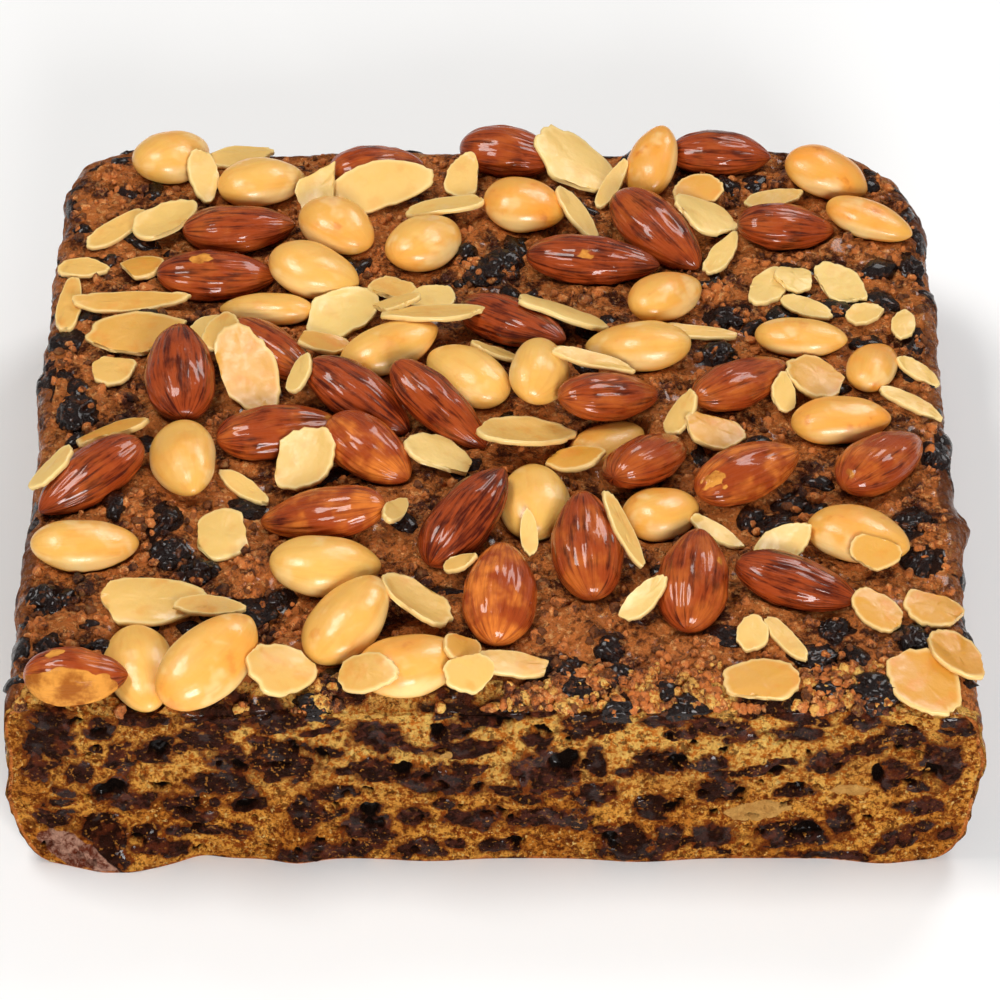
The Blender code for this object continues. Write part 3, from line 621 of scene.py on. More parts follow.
def baked_colour(finish, cake):
    """Brown grains of crust, with painted shade in the pores between them and a painted highlight
    where they stand out.
    """
    broad = finish.noise(0.007, 4.0)
    grains = finish.noise(0.0014, 5.0, roughness=0.72)
    broader = finish.times(broad, 1.6)
    mottle = finish.plus(broader, finish.times(grains, 1.1))
    base = finish.mix(finish.between(mottle, 1.1, 1.42), tuple(cake.crust_dark), tuple(cake.crust))
    # Painted shade: the pores between the grains are painted dark, as the shade inside them
    pore_shade = finish.patches(0.0019, 5.0, 0.47, 0.4, roughness=0.7)
    base = finish.mix(finish.times(pore_shade, 0.6), base, screen(50, 17, 7))
    # Painted highlight on the raised grains, stronger in broad patches
    lit = finish.patches(0.0011, 4.0, 0.54, 0.64, roughness=0.65)
    lit = finish.times(lit, finish.between(broad, 0.4, 0.6, 0.4, 1.0))
    return finish.mix(lit, base, tuple(cake.crust_highlight)), grains


def crust_finish(cake):
    """Baked brown crust with glossy dark fruit under its skin and a painted highlight on its raised
    grains.
    """
    finish = Finish("baked_crust")
    crusty, grains = baked_colour(finish, cake)
    # Darker over the baked sides than on the top, in patches
    crusty = finish.mix(finish.attribute("browned"), crusty, tuple(cake.crust_dark))
    sunk = finish.plus(finish.attribute("sunk"), finish.times(grains, 0.8))
    crusty = finish.mix(finish.between(sunk, 0.86, 1.02), crusty, tuple(cake.fruit))
    inner = fruity_crumb(finish, cake)[0]
    edge = finish.attribute("crumbled")
    ragged = finish.plus(edge, finish.times(finish.noise(0.003, 4.0), 1.1))
    opened = finish.between(ragged, 0.9, 1.0)
    shown = finish.mix(opened, crusty, inner)
    shown = finish.mix(finish.between(finish.attribute("peel"), 0.4, 0.6), shown, peel_colour(finish))
    rough = finish.patches(0.0012, 3.0, 0.38, 0.56, 0.16, 0.85)
    normal = finish.bump(finish.noise(0.0032, 6.0, roughness=0.7), 0.0030, 1.0)
    normal = finish.bump(grains, 0.0016, 1.0, normal)
    sticky = finish.patches(0.004, 3.0, 0.5, 0.62, 0, 0.45)
    return finish.set(
        Base_Color=shown, Roughness=rough, Specular_IOR_Level=0.3, Coat_Weight=sticky,
        Coat_Roughness=0.12, Specular_Tint=(*screen(255, 206, 176), 1), Normal=normal,
    )


def cut_finish(cake):
    """The cut crumb: golden grains between dark fruit, with a few nuts and hollows, the hollows
    painted nearly black as painted shade.
    """
    finish = Finish("cut_crumb")
    shown, fruity = fruity_crumb(finish, cake)
    flecked = finish.times(finish.noise(0.0012), 0.5)
    nut = finish.plus(finish.attribute("nut"), flecked)
    chopped = finish.mix(finish.noise(0.002, 4.0), screen(168, 100, 36), screen(250, 196, 112))
    shown = finish.mix(finish.between(nut, 0.7, 0.9), shown, chopped)
    # Painted shade: the hollows are painted nearly black, as the shade inside them
    shown = finish.mix(finish.between(finish.attribute("hollow"), 0.2, 0.7), shown, screen(14, 9, 8))
    shown = finish.mix(finish.between(finish.attribute("peel"), 0.4, 0.6), shown, peel_colour(finish))
    frayed = finish.times(finish.noise(0.002, 4.0), 0.8)
    crusty = finish.plus(finish.attribute("crusty"), frayed)
    crust = baked_colour(finish, cake)[0]
    shown = finish.mix(finish.between(crusty, 0.85, 1.1), shown, crust)
    gloss = finish.patches(0.0025, 3.0, 0.4, 0.6, 0.3, 0.6)
    rough = finish.mix(fruity, (0.9, 0.9, 0.9), gloss)
    normal = finish.bump(finish.noise(0.0014, 6.0, roughness=0.75), 0.0018, 1.0)
    normal = finish.bump(finish.noise(0.0005, 3.0), 0.0005, 0.8, normal)
    gleam = finish.patches(0.004, 3.0, 0.52, 0.62, 0, 0.35)
    juicy = finish.times(fruity, gleam)
    return finish.set(
        Base_Color=shown, Roughness=rough, Specular_IOR_Level=0.12, Coat_Weight=juicy,
        Coat_Roughness=0.08, Specular_Tint=(*screen(255, 190, 150), 1), Normal=normal,
    )


def loose_finish(cake):
    """Lumps of crust, from dark to brown with a painted highlight on their grains, and the golden
    crumbs among them.
    """
    finish = Finish("loose_crumb")
    tone = finish.attribute("tone")
    crusty = baked_colour(finish, cake)[0]
    crusty = finish.mix(finish.between(tone, 0.1, 0.3, 0.75, 0), crusty, tuple(cake.fruit))
    golden = crumb_colour(finish, cake)
    shown = finish.mix(finish.between(tone, 0.7, 0.8), crusty, golden)
    rough = finish.patches(0.0012, 3.0, 0.4, 0.6, 0.2, 0.85)
    normal = finish.bump(finish.noise(0.0011, 5.0, roughness=0.7), 0.0012, 1.0)
    return finish.set(Base_Color=shown, Roughness=rough, Specular_IOR_Level=0.3, Normal=normal)


def raisin_finish(cake):
    """Wrinkled black fruit, glossy where its skin is tight."""
    finish = Finish("raisin_skin")
    broad = finish.noise(0.004, 3.0)
    base = finish.mix(finish.between(broad, 0.45, 0.7), screen(20, 7, 4), tuple(cake.fruit))
    brownish = finish.patches(0.0013, 4.0, 0.56, 0.68)
    base = finish.mix(finish.times(brownish, 0.7), base, screen(104, 58, 32))
    rough = finish.patches(0.0018, 3.0, 0.4, 0.62, 0.1, 0.45)
    normal = finish.bump(finish.noise(0.0016, 5.0, roughness=0.6), 0.0016, 0.9)
    return finish.set(
        Base_Color=base, Roughness=rough, Specular_IOR_Level=0.15, Coat_Weight=0.32,
        Coat_Roughness=0.07, Normal=normal,
    )


def skin_finish(nuts):
    """Glazed brown almond skin with furrows from its round end to its tip."""
    finish = Finish("glazed_almond_skin")
    along_nut = finish.attribute("grain", "Vector")
    streaks = finish.noise(1.0, 5.0, along_nut, distortion=0.5)
    fine = finish.noise(0.35, 4.0, along_nut)
    mottle = finish.noise(0.004, 4.0)
    dark = finish.plus(streaks, finish.times(fine, 0.4))
    dark = finish.plus(dark, finish.times(mottle, 0.6))
    dark = finish.plus(dark, finish.times(finish.attribute("fair"), 0.25))
    base = finish.mix(finish.between(dark, 0.84, 1.16), tuple(nuts.skin_dark), tuple(nuts.skin))
    thin = finish.patches(0.006, 3.0, 0.42, 0.66)
    light = finish.times(thin, finish.between(finish.attribute("fair"), 0.1, 1.0))
    light = finish.times(light, finish.between(streaks, 0.35, 0.6, 0.3, 1.0))
    base = finish.mix(light, base, tuple(nuts.skin_light))
    nick = finish.between(finish.attribute("nick"), 0.45, 0.6)
    flesh = finish.patches(0.005, 5.0, 0.36, 0.6, roughness=0.6)
    base = finish.mix(nick, base, finish.mix(flesh, screen(158, 88, 30), screen(222, 150, 64)))
    rough = finish.between(fine, 0.35, 0.65, 0.2, 0.42)
    rough = finish.math("MAXIMUM", rough, finish.times(nick, 0.7))
    coat = finish.math("SUBTRACT", 0.55, finish.times(nick, 0.5))
    normal = finish.bump(streaks, 0.0008, 0.6)
    normal = finish.bump(finish.noise(0.0009, 4.0), 0.0003, 0.35, normal)
    return finish.set(
        Base_Color=base, Roughness=rough, Specular_IOR_Level=0.2,
        Specular_Tint=(*screen(255, 190, 150), 1), Coat_Weight=coat, Coat_Roughness=0.06,
        Normal=normal,
    )


def kernel_finish(nuts):
    """Smooth blanched almond, toasted orange in spots, with a painted highlight on its rim."""
    finish = Finish("blanched_almond")
    tone = finish.attribute("fair")
    base = finish.mix(tone, tuple(nuts.kernel), tuple(nuts.kernel_toasted))
    broad = finish.patches(0.009, 2.0, 0.42, 0.68)
    warmth = finish.times(broad, finish.between(tone, 0, 0.8, 0.15, 0.9))
    base = finish.mix(warmth, base, screen(246, 158, 54))
    spots = finish.patches(0.0045, 3.0, 0.6, 0.72)
    spots = finish.times(spots, finish.between(tone, 0.1, 0.8))
    base = finish.mix(finish.times(spots, 0.75), base, screen(212, 118, 34))
    pale = finish.patches(0.006, 2.0, 0.56, 0.7)
    base = finish.mix(finish.times(pale, 0.5), base, screen(250, 214, 150))
    streaks = finish.noise(1.1, 4.0, finish.attribute("grain", "Vector"))
    darker = finish.between(streaks, 0.5, 0.7, 0, 0.3)
    base = finish.mix(darker, base, screen(228, 154, 66))
    # Painted highlight: the almond's rim is painted paler, as light on its edges
    edge = finish.between(finish.attribute("edge"), 0.55, 1.0, 0, 0.6)
    base = finish.mix(edge, base, screen(253, 220, 152))
    rough = finish.patches(0.003, 3.0, 0.35, 0.65, 0.28, 0.5)
    normal = finish.bump(finish.noise(0.0022, 4.0), 0.0004, 0.35)
    normal = finish.bump(streaks, 0.0003, 0.35, normal)
    return finish.set(
        Base_Color=base, Roughness=rough, Coat_Weight=0.25, Coat_Roughness=0.14, Normal=normal,
        Subsurface_Weight=0.18, Subsurface_Radius=(0.003, 0.0016, 0.0006), Subsurface_Scale=1.0,
    )


def flake_finish(nuts):
    """Thin almond slices, pale to golden, with a painted highlight along their rims."""
    finish = Finish("flaked_almond")
    tone = finish.attribute("toast")
    base = finish.mix(tone, tuple(nuts.flake_pale), tuple(nuts.flake_golden))
    blush = finish.patches(0.005, 3.0, 0.52, 0.72)
    warmth = finish.times(blush, finish.between(tone, 0.1, 0.9, 0.2, 0.8))
    base = finish.mix(warmth, base, screen(226, 146, 52))
    # Painted highlight: the rims are painted paler, as light at the thin edges
    rim = finish.between(finish.attribute("rim"), 0.82, 0.98)
    base = finish.mix(finish.times(rim, 0.6), base, screen(248, 218, 150))
    rough = finish.patches(0.002, 3.0, 0.35, 0.65, 0.34, 0.52)
    normal = finish.bump(finish.noise(0.0016, 4.0), 0.0003, 0.4)
    return finish.set(
        Base_Color=base, Roughness=rough, Coat_Weight=0.15, Coat_Roughness=0.2, Normal=normal,
        Subsurface_Weight=0.15, Subsurface_Radius=(0.002, 0.0012, 0.0005), Subsurface_Scale=1.0,
    )


class AlmondShape:
    """How one solid almond lies: its middle, axes and size, in millimetres."""

    def __init__(self, node):
        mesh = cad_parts[node].data
        points = np.array([v.co for v in mesh.vertices]) / MM - CENTRING
        points = np.unique(points.round(4), axis=0)
        middle = points.mean(axis=0)
        axes = np.linalg.svd(points - middle, full_matrices=False)[2]
        long, wide = axes[0], axes[1]
        reach = (points - middle) @ long
        girth = ((points - middle - np.outer(reach, long)) ** 2).sum(axis=1)
        if (reach * girth).sum() > 0:
            long = -long
        up = np.cross(long, wide)
        if up[2] < 0:
            up, wide = -up, -wide
        self.axes = np.stack([long, wide, up])
        local = points @ self.axes.T
        self.low, self.high = local.min(axis=0), local.max(axis=0)

    def place(self, local):
        """Unit almond coordinates, -1 to 1 along each axis, in the cake's own."""
        return ((self.low + self.high) / 2 + local * (self.high - self.low) / 2) @ self.axes


def almond_profile(along, sharpness):
    """Half the width of an almond, from -1 at its round end to 1 at its tip."""
    widest = (0.5 - sharpness) / (0.5 + sharpness)
    fullest = (1 + widest) ** 0.5 * (1 - widest) ** sharpness
    return np.maximum(1 + along, 0) ** 0.5 * np.maximum(1 - along, 0) ** sharpness / fullest


def lay_almonds(kind, look, settings, material, slot):
    """A fine almond for each plain one of this kind."""
    for node in sorted(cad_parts):
        if node.startswith(kind):
            almond_piece(node, node.replace(kind, look), settings, material, slot)


def almond_piece(node, name, settings, material, slot):
    """A fine almond in the place of its plain solid."""
    skinned = slot == "almond_skin"
    number = int(node[-2:])
    seed = number if skinned else 100 + number
    draw = np.random.default_rng(seed)
    shape = AlmondShape(node)
    bm = bmesh.new()
    segments, rings = SKIN_MESH if skinned else KERNEL_MESH
    bmesh.ops.create_uvsphere(bm, u_segments=segments, v_segments=rings, radius=1)
    unit = np.array([v.co for v in bm.verts])
    along, turn = unit[:, 2], np.arctan2(unit[:, 1], unit[:, 0])
    radius = almond_profile(along, SKIN_TIP if skinned else KERNEL_TIP)
    grain = np.stack([np.cos(turn) * 5, np.sin(turn) * 5, along * 1.3], -1) + seed * 7.3
    local = np.stack([along, np.cos(turn) * radius, np.sin(turn) * radius], -1)
    local[:, 1] += draw.uniform(-0.1, 0.1) * (along ** 2 - 0.3)
    placed = shape.place(local * 1.02)
    middle = (shape.low + shape.high) / 2 @ shape.axes
    outward = placed - middle
    outward -= np.outer(outward @ shape.axes[0], shape.axes[0])
    outward /= np.maximum(np.linalg.norm(outward, axis=1), 1e-6)[:, None]
    body = np.sqrt(np.clip(1 - along ** 2, 0, 1))
    if skinned:
        ridges = 1 - 2 * abs(noise_at(grain, 1.0)) + 0.5 * noise_at(grain, 0.45)
        relief = settings.ridge / MM * ridges + 0.35 * noise_at(placed, 5.0)
    else:
        seam = np.exp(-((np.sin(turn) / 0.09) ** 2)) * (along > -0.2)
        relief = 0.4 * noise_at(placed, 6.0) - 0.16 * seam * draw.integers(0, 2)
    placed += outward * (relief * body)[:, None]
    put(bm, placed)
    nick = np.zeros(len(placed))
    if skinned and number in NICKS:
        reach, aside, size = NICKS[number]
        spot = shape.place(np.array([[reach, aside, 0.8]]))
        nick = 1.1 - np.linalg.norm((placed - spot) / (3.0, 2.2, 3.0), axis=1) / size
        nick += 0.5 * noise_at(placed, 1.2)
    if node == SLICED_NUT:
        nick = np.maximum(nick, (-DEPTH / 2 + 3.2 - placed[:, 1]) / 1.5 + noise_at(placed, 2.0))
    write_floats(bm, "nick", nick)
    write_floats(bm, "fair", np.full(len(placed), (FAIRNESS if skinned else TOASTING)[number - 1]))
    # Where the almond's rim lies, for the painted highlight there
    write_floats(bm, "edge", abs(np.cos(turn)) ** 3 * body)
    layer = bm.verts.layers.float_vector.new("grain")
    for vert, place in zip(bm.verts, grain):
        vert[layer] = place
    if node == SLICED_NUT:
        slice_at_front(bm)
    Kitchen.nuts.spread(placed, np.maximum)
    Kitchen.under_nuts.spread(placed, np.minimum)
    bmesh.ops.recalc_face_normals(bm, faces=bm.faces)
    return piece(name, bm, material, [node])


def slice_at_front(bm):
    """Cuts off what stands out past the knife, and shows the flesh there."""
    everything = bm.verts[:] + bm.edges[:] + bm.faces[:]
    made = bmesh.ops.bisect_plane(
        bm, geom=everything, plane_co=(0, -DEPTH / 2, 0), plane_no=(0, -1, 0), clear_outer=True
    )
    rim = [e for e in made["geom_cut"] if isinstance(e, bmesh.types.BMEdge)]
    face = bmesh.ops.contextual_create(bm, geom=rim)["faces"]
    bmesh.ops.inset_region(bm, faces=face, thickness=0.25)
    layer = bm.verts.layers.float["nick"]
    for vert in {v for f in face for v in f.verts}:
        vert[layer] = 1.0


class CAKE_OT_glazed_almonds(bpy.types.Operator):
    """Lays the brown almonds, each with its own furrowed, glazed skin"""

    bl_idname = "cake.glazed_almonds"
    bl_label = "Glazed Almonds"

    def execute(self, context):
        nuts = context.scene.cake_nuts
        lay_almonds("skin", "glazed", nuts, skin_finish(nuts), "almond_skin")
        return {"FINISHED"}


class CAKE_OT_peeled_almonds(bpy.types.Operator):
    """Lays the blanched almonds, smooth and lightly toasted"""

    bl_idname = "cake.peeled_almonds"
    bl_label = "Blanched Almonds"

    def execute(self, context):
        nuts = context.scene.cake_nuts
        lay_almonds("blanched", "peeled", nuts, kernel_finish(nuts), "almond_kernel")
        return {"FINISHED"}


class CAKE_OT_crust(bpy.types.Operator):
    """Bakes the body of the cake, with its craggy top and rounded sides"""

    bl_idname = "cake.crust"
    bl_label = "Crust"

    def execute(self, context):
        bm = bmesh.new()
        bmesh.ops.create_cube(bm, size=1)
        for axis, cuts in enumerate(CRUST_CUTS):
            along = [e for e in bm.edges if abs((e.verts[0].co - e.verts[1].co)[axis]) > 0.5]
            bmesh.ops.subdivide_edges(bm, edges=along, cuts=cuts, use_grid_fill=True)
        under = [f for f in bm.faces if f.calc_center_median().z < -AT_FACE]
        bmesh.ops.dissolve_faces(bm, faces=under, use_verts=True)
        unit = np.array([v.co for v in bm.verts])
        baked = np.array([bake(corner) for corner in unit])
        on_top = unit[:, 2] > AT_FACE
        from_rim = np.minimum((0.5 - abs(unit[:, 0])) * WIDTH, (0.5 - abs(unit[:, 2])) * HEIGHT)
        on_cut = unit[:, 1] < -AT_FACE
        from_cut = baked[:, 1] + DEPTH / 2
        baked[:, 1] += FRONT_RECESS * smooth(from_rim, 0.0, RECESS_RIM) * on_cut
        grit = relief_at(baked, CRUST_GRIT)
        broken = smooth(-from_cut, -9.0, -1.0) * on_top
        grit += broken * (0.9 * noise_at(baked, 3.4, 30.0) - 0.3)
        wobble = 0.5 * noise_at(baked, 3.0, 4.0)
        on_show = [row[:5] for row in TOP_FRUIT]
        sunk = blob_field(baked[:, 0], baked[:, 1], on_show, wobble)[0]
        sideways = np.clip(noise_at(baked, 5.0, 20.0) * 2.2, -1, 1)
        sunk = np.where(on_top, smooth(sunk, -0.3, 0.3), smooth(sideways, 0.5, 1.0))
        unrolled = baked[:, 2] + np.maximum(from_cut, 0) * on_top
        fruit_rows = inner_fruit()
        fruit, which = blob_field(baked[:, 0], unrolled, fruit_rows, wobble)
        normals = np.array([v.normal for v in bm.verts])
        baked[:, 2] += grit * on_top
        baked -= normals * (grit * ~on_top * smooth(baked[:, 2], 1.0, 5.0) * 0.6)[:, None]
        dent = np.maximum(Kitchen.under_nuts.at(baked) - 0.05, HEIGHT - DEEPEST_DENT)
        baked[:, 2] = np.where(on_top, np.minimum(baked[:, 2], dent), baked[:, 2])
        Kitchen.crust.spread(baked[on_top], np.maximum)
        put(bm, baked)
        write_floats(bm, "sunk", sunk)
        # The baked sides are darker than the top, in patches
        write_floats(bm, "browned", ~on_top * smooth(noise_at(baked, 16.0, 50.0), -0.7, 0.7) * 0.8)
        write_floats(bm, "fruit", np.clip(0.5 + fruit * 1.4, 0, 1))
        tones = np.random.default_rng(3).random((len(fruit_rows), 2))
        write_floats(bm, "tone", tones[which, 0] ** 1.5)
        write_floats(bm, "dust", tones[which, 1])
        opened = smooth(-from_cut, -11.0, 0.0) * np.where(on_top, 1.0, smooth(-from_cut, -2.5, 0.0))
        write_floats(bm, "crumbled", opened * 0.8)
        write_floats(bm, "peel", peel_at(baked, wobble))
        write_floats(bm, "golden", smooth(baked[:, 2], *GOLDEN_FROM) * 0.8)
        bmesh.ops.recalc_face_normals(bm, faces=bm.faces)
        piece("baked_crust", bm, crust_finish(context.scene.cake_body), ["cake"])
        return {"FINISHED"}


def spare_blobs(draw, count, long, short, low, high):
    """Random small ellipses over the cut, unrolled on to the top above its height."""
    return [
        (draw.uniform(-87, 87), draw.uniform(low, high), draw.uniform(*long),
         draw.uniform(*short), draw.uniform(-25, 25))
        for _ in range(count)
    ]


def inner_fruit():
    """The fruit in the cut face and, further up, in the crumbled edge above it."""
    draw = np.random.default_rng(7)
    small = spare_blobs(draw, SPARE_FRUIT, (1.2, 3.4), (0.8, 1.6), 1, 38)
    return [*CUT_FRUIT, *small, *spare_blobs(draw, EDGE_FRUIT, (2.5, 6), (1.6, 3.2), 39, 52)]


def peel_at(points, wobble):
    """Where the smooth, pale skin of the foot shows, at the left end of the cut."""
    across, up = points[:, 0] - PEEL_PLACE[0], points[:, 2] - PEEL_PLACE[1]
    edge = 1 - np.hypot(across / PEEL_HALVES[0], (up + 0.5 * across) / PEEL_HALVES[1])
    at_front = smooth(-points[:, 1] - DEPTH / 2, -6.0, -3.0)
    return np.clip(0.5 + edge * 3 + 0.6 * wobble, 0, 1) * at_front


class CAKE_OT_cut_face(bpy.types.Operator):
    """Cuts the front, which shows golden crumb and dark fruit"""

    bl_idname = "cake.cut_face"
    bl_label = "Cut Face"

    def execute(self, context):
        cake = context.scene.cake_body
        draw = np.random.default_rng(8)
        bm = bmesh.new()
        bmesh.ops.create_grid(bm, x_segments=CUT_FACE_CUTS[0], y_segments=CUT_FACE_CUTS[1], size=1)
        unit = np.array([v.co for v in bm.verts])
        level = np.arccos(np.clip(-unit[:, 1], -1, 1)) / math.pi
        corners = np.stack([unit[:, 0] * CUT_FACE_SHARE, np.full(len(unit), -0.5), level - 0.5], -1)
        face = np.array([bake(corner) for corner in corners])
        across, up = face[:, 0], face[:, 2]
        wobble = relief_at(face, FRUIT_EDGE)
        fruit_rows = inner_fruit()
        fruit, which = blob_field(across, up, fruit_rows, wobble)
        pits = spare_blobs(draw, SPARE_HOLLOWS, (0.5, 1.6), (0.4, 1.0), 1, 38)
        hollow = blob_field(across, up, [*CUT_HOLLOWS, *pits], 1.4 * wobble)[0]
        nut = blob_field(across, up, CUT_NUTS, 0.4 * wobble)[0]
        tones = np.random.default_rng(3).random((len(fruit_rows), 2))
        inside = smooth(fruit, -0.15, 0.2)
        ring = np.exp(-((fruit / 0.16) ** 2))
        pit = smooth(hollow, -0.1, 0.4)
        wrinkle = relief_at(face, FRUIT_WRINKLE)
        grain_size = cake.grain / MM
        grains = noise_at(face, grain_size) + 0.6 * noise_at(face, grain_size / 2, 8.0)
        coarse = 0.6 * noise_at(face, 2.6, 2.0)
        out = (1 - inside) * (cake.grain_depth / MM * grains + coarse) + inside * (0.25 + wrinkle)
        out -= 1.9 * pit + 0.5 * ring * smooth(noise_at(face, 4.0, 14.0), 0.0, 0.3)
        at_rim = np.maximum(abs(unit[:, 0]), abs(unit[:, 1])) > 0.9999
        face[:, 1] -= np.where(at_rim, 0.1, out)
        put(bm, face)
        write_floats(bm, "fruit", np.clip(0.5 + fruit * 1.4, 0, 1))
        write_floats(bm, "tone", tones[which, 0] ** 1.5)
        write_floats(bm, "dust", tones[which, 1])
        # How far into a hollow each point is, for its dent and for its painted shade
        write_floats(bm, "hollow", pit)
        central = 1 - 0.8 * smooth(abs(across - 8), 40, 84)
        write_floats(bm, "golden", smooth(up, *GOLDEN_FROM) * central)
        write_floats(bm, "nut", smooth(nut, -0.2, 0.3))
        write_floats(bm, "peel", peel_at(face, wobble))
        crusty = smooth(abs(unit[:, 0]), 0.985, 1.0)
        crusty = np.maximum(crusty, smooth(up, 37.5, 40.0) * 0.4)
        write_floats(bm, "crusty", np.maximum(crusty, smooth(-up, -1.2, 0.0) * 0.7))
        rim_edges = [e for e in bm.edges if e.is_boundary]
        pushed = bmesh.ops.extrude_edge_only(bm, edges=rim_edges)["geom"]
        back = [v for v in pushed if isinstance(v, bmesh.types.BMVert)]
        bmesh.ops.translate(bm, vec=(0, CUT_FACE_DEPTH, 0), verts=back)
        bmesh.ops.contextual_create(bm, geom=[e for e in bm.edges if e.is_boundary])
        bmesh.ops.recalc_face_normals(bm, faces=bm.faces)
        piece("cut_face", bm, cut_finish(cake), ["cake"])
        return {"FINISHED"}


def raisin(unit, middle, axes, halves, seed):
    """The points of a wrinkled fruit with these half sizes along these axes."""
    crease = 1 - abs(noise_at(unit + seed * 3.1, 0.5)) * 2.2
    bulk = 1 + 0.45 * noise_at(unit + seed * 5.7, 1.2) + 0.24 * (crease - 0.6)
    return unit * bulk[:, None] * halves @ axes + middle


def lay_fruit(places, seed):
    """The lies of the fruit that finds bare crust."""
    draw = np.random.default_rng(seed)
    for x, y, heading, half in places:
        seed += 1
        point = np.array([[x, y, 0.0]])
        ground, nut = Kitchen.crust.at(point)[0], Kitchen.nuts.at(point)[0]
        around = point + half[1] * 0.6 * ROUND_ABOUT
        if Kitchen.flakes.at(around).max() > 0:
            half = (half[0], half[1], FLATTENED)
        if nut <= ground and ground >= HEIGHT - DEEPEST_SEAT:
            axes = np.array(Matrix.Rotation(-math.radians(heading), 3, "Z"))
            middle = (x, y, ground - half[2] * draw.uniform(0.35, 0.7))
            yield middle, axes, half, seed


def fruit_piece(name, lies, mesh, cake):
    """One piece of wrinkled fruit, each in its place."""
    bm, members, placed = spheres(len(lies), *mesh)
    for verts, lie in zip(members, lies):
        placed[verts] = raisin(placed[verts], *lie)
    placed[:, 1] = np.maximum(placed[:, 1], -DEPTH / 2 - PAST_CUT)
    put(bm, placed)
    bmesh.ops.recalc_face_normals(bm, faces=bm.faces)
    piece(name, bm, raisin_finish(cake), ["cake"])


class CAKE_OT_raisins(bpy.types.Operator):
    """Sets the large raisins into the baked top"""

    bl_idname = "cake.raisins"
    bl_label = "Raisins"

    def execute(self, context):
        places = [(x, y, turn, (long, short, 2.8)) for x, y, long, short, turn in TOP_FRUIT]
        fruit_piece("raisins", list(lay_fruit(places, 21)), RAISIN_MESH, context.scene.cake_body)
        return {"FINISHED"}


class CAKE_OT_currants(bpy.types.Operator):
    """Sets smaller fruit into the baked top and sides"""

    bl_idname = "cake.currants"
    bl_label = "Currants"

    def top_places(self, draw):
        """Middles, headings and half sizes of the fruit on the top."""
        for _ in range(SPARE_TOP_FRUIT):
            half = (draw.uniform(2.2, 5), draw.uniform(1.6, 3.2), draw.uniform(1.4, 2.2))
            x = draw.uniform(-87, 87)
            yield x, draw.uniform(-84.5, 84), draw.uniform(0, 180), half

    def side_places(self, draw):
        """Unit cube places, level by level, on the three baked sides."""
        for _ in range(SIDE_FRUIT):
            run, level = draw.uniform(-0.46, 0.46), draw.uniform(-0.36, 0.42)
            which = draw.integers(3)
            yield ((-0.5, run, level), (run, 0.5, level), (0.5, run, level))[which]

    def execute(self, context):
        draw = np.random.default_rng(22)
        lies = list(lay_fruit(self.top_places(draw), 60))
        for seed, corner in enumerate(self.side_places(draw), 500):
            here = np.array(bake(corner))
            step = 0.01
            higher = np.array(bake((corner[0], corner[1], corner[2] + step))) - here
            if abs(corner[0]) > AT_FACE:
                aside = np.array(bake((corner[0], corner[1] + step, corner[2]))) - here
            else:
                aside = np.array(bake((corner[0] + step, corner[1], corner[2]))) - here
            out = np.cross(aside, higher)
            out /= np.linalg.norm(out)
            aside /= np.linalg.norm(aside)
            if out @ (here - (0, 0, HEIGHT / 2)) < 0:
                out = -out
            axes = np.stack([aside, np.cross(out, aside), out])
            half = (draw.uniform(2.5, 5.5), draw.uniform(1.8, 3.2), draw.uniform(1.2, 1.8))
            lies.append((here - out * half[2] * 0.8, axes, half, seed))
        fruit_piece("currants", lies, CURRANT_MESH, context.scene.cake_body)
        return {"FINISHED"}


class CAKE_OT_crumbs(bpy.types.Operator):
    """Roughens the top with small lumps of crust and loose crumbs"""

    bl_idname = "cake.crumbs"
    bl_label = "Crumbs"

    def execute(self, context):
        draw = np.random.default_rng(31)
        spots = np.zeros((CRUMBS, 3))
        spots[:, 0] = draw.uniform(-88, 88, CRUMBS)
        near_cut = draw.random(CRUMBS) < 0.3
        reach = np.where(near_cut, 10.0, DEPTH - 3)
        spots[:, 1] = 0.7 - DEPTH / 2 + draw.random(CRUMBS) ** np.where(near_cut, 1.4, 1) * reach
        ground = Kitchen.crust.at(spots)
        covered = np.maximum(Kitchen.nuts.at(spots), Kitchen.flakes.at(spots))
        bare = (covered <= ground) & (ground > HEIGHT - DEEPEST_DENT)
        spots[:, 2] = ground
        spots, near_cut = spots[bare], near_cut[bare]
        bm, members, places = spheres(len(spots), *CRUMB_MESH)
        halves = draw.uniform(0.45, 1.5, (len(spots), 1)) * draw.uniform(0.6, 1.1, (len(spots), 3))
        shapes = places[members]
        lumps = noise_at((shapes + np.arange(len(spots))[:, None, None] * 3.3).reshape(-1, 3), 0.9)
        shapes *= (1 + 0.6 * lumps.reshape(members.shape))[:, :, None] * halves[:, None]
        places[members] = shapes + (spots - (0, 0, 0.1))[:, None]
        put(bm, places)
        tones, shades = np.zeros(len(places)), draw.random(len(spots))
        shades = np.where(near_cut, shades ** 0.6, shades * 0.72)
        tones[members] = shades[:, None]
        write_floats(bm, "tone", tones)
        write_floats(bm, "golden", tones)
        bmesh.ops.recalc_face_normals(bm, faces=bm.faces)
        piece("crumbs", bm, loose_finish(context.scene.cake_body), ["cake"])
        return {"FINISHED"}


def turn_matrix(heading, pitch, roll):
    """Rolled about X, pitched with the tip up, then headed about Z."""
    turn = Matrix.Rotation(math.radians(heading), 3, "Z")
    turn = turn @ Matrix.Rotation(math.radians(-pitch), 3, "Y")
    return np.array(turn @ Matrix.Rotation(math.radians(roll), 3, "X"))


def lie_down(cloud, ground, x, y, heading):
    """The lowest lie of a flat thing on the ground, as its height, pitch and roll."""
    found = []
    for pitch in TILTS:
        for roll in TILTS:
            points = cloud @ turn_matrix(heading, pitch, roll).T + (x, y, 0)
            height = float(np.quantile(ground.at(points) - points[:, 2], 0.93))
            found.append((height + 0.015 * (abs(pitch) + abs(roll)), height, pitch, roll))
    return min(found)[1:]


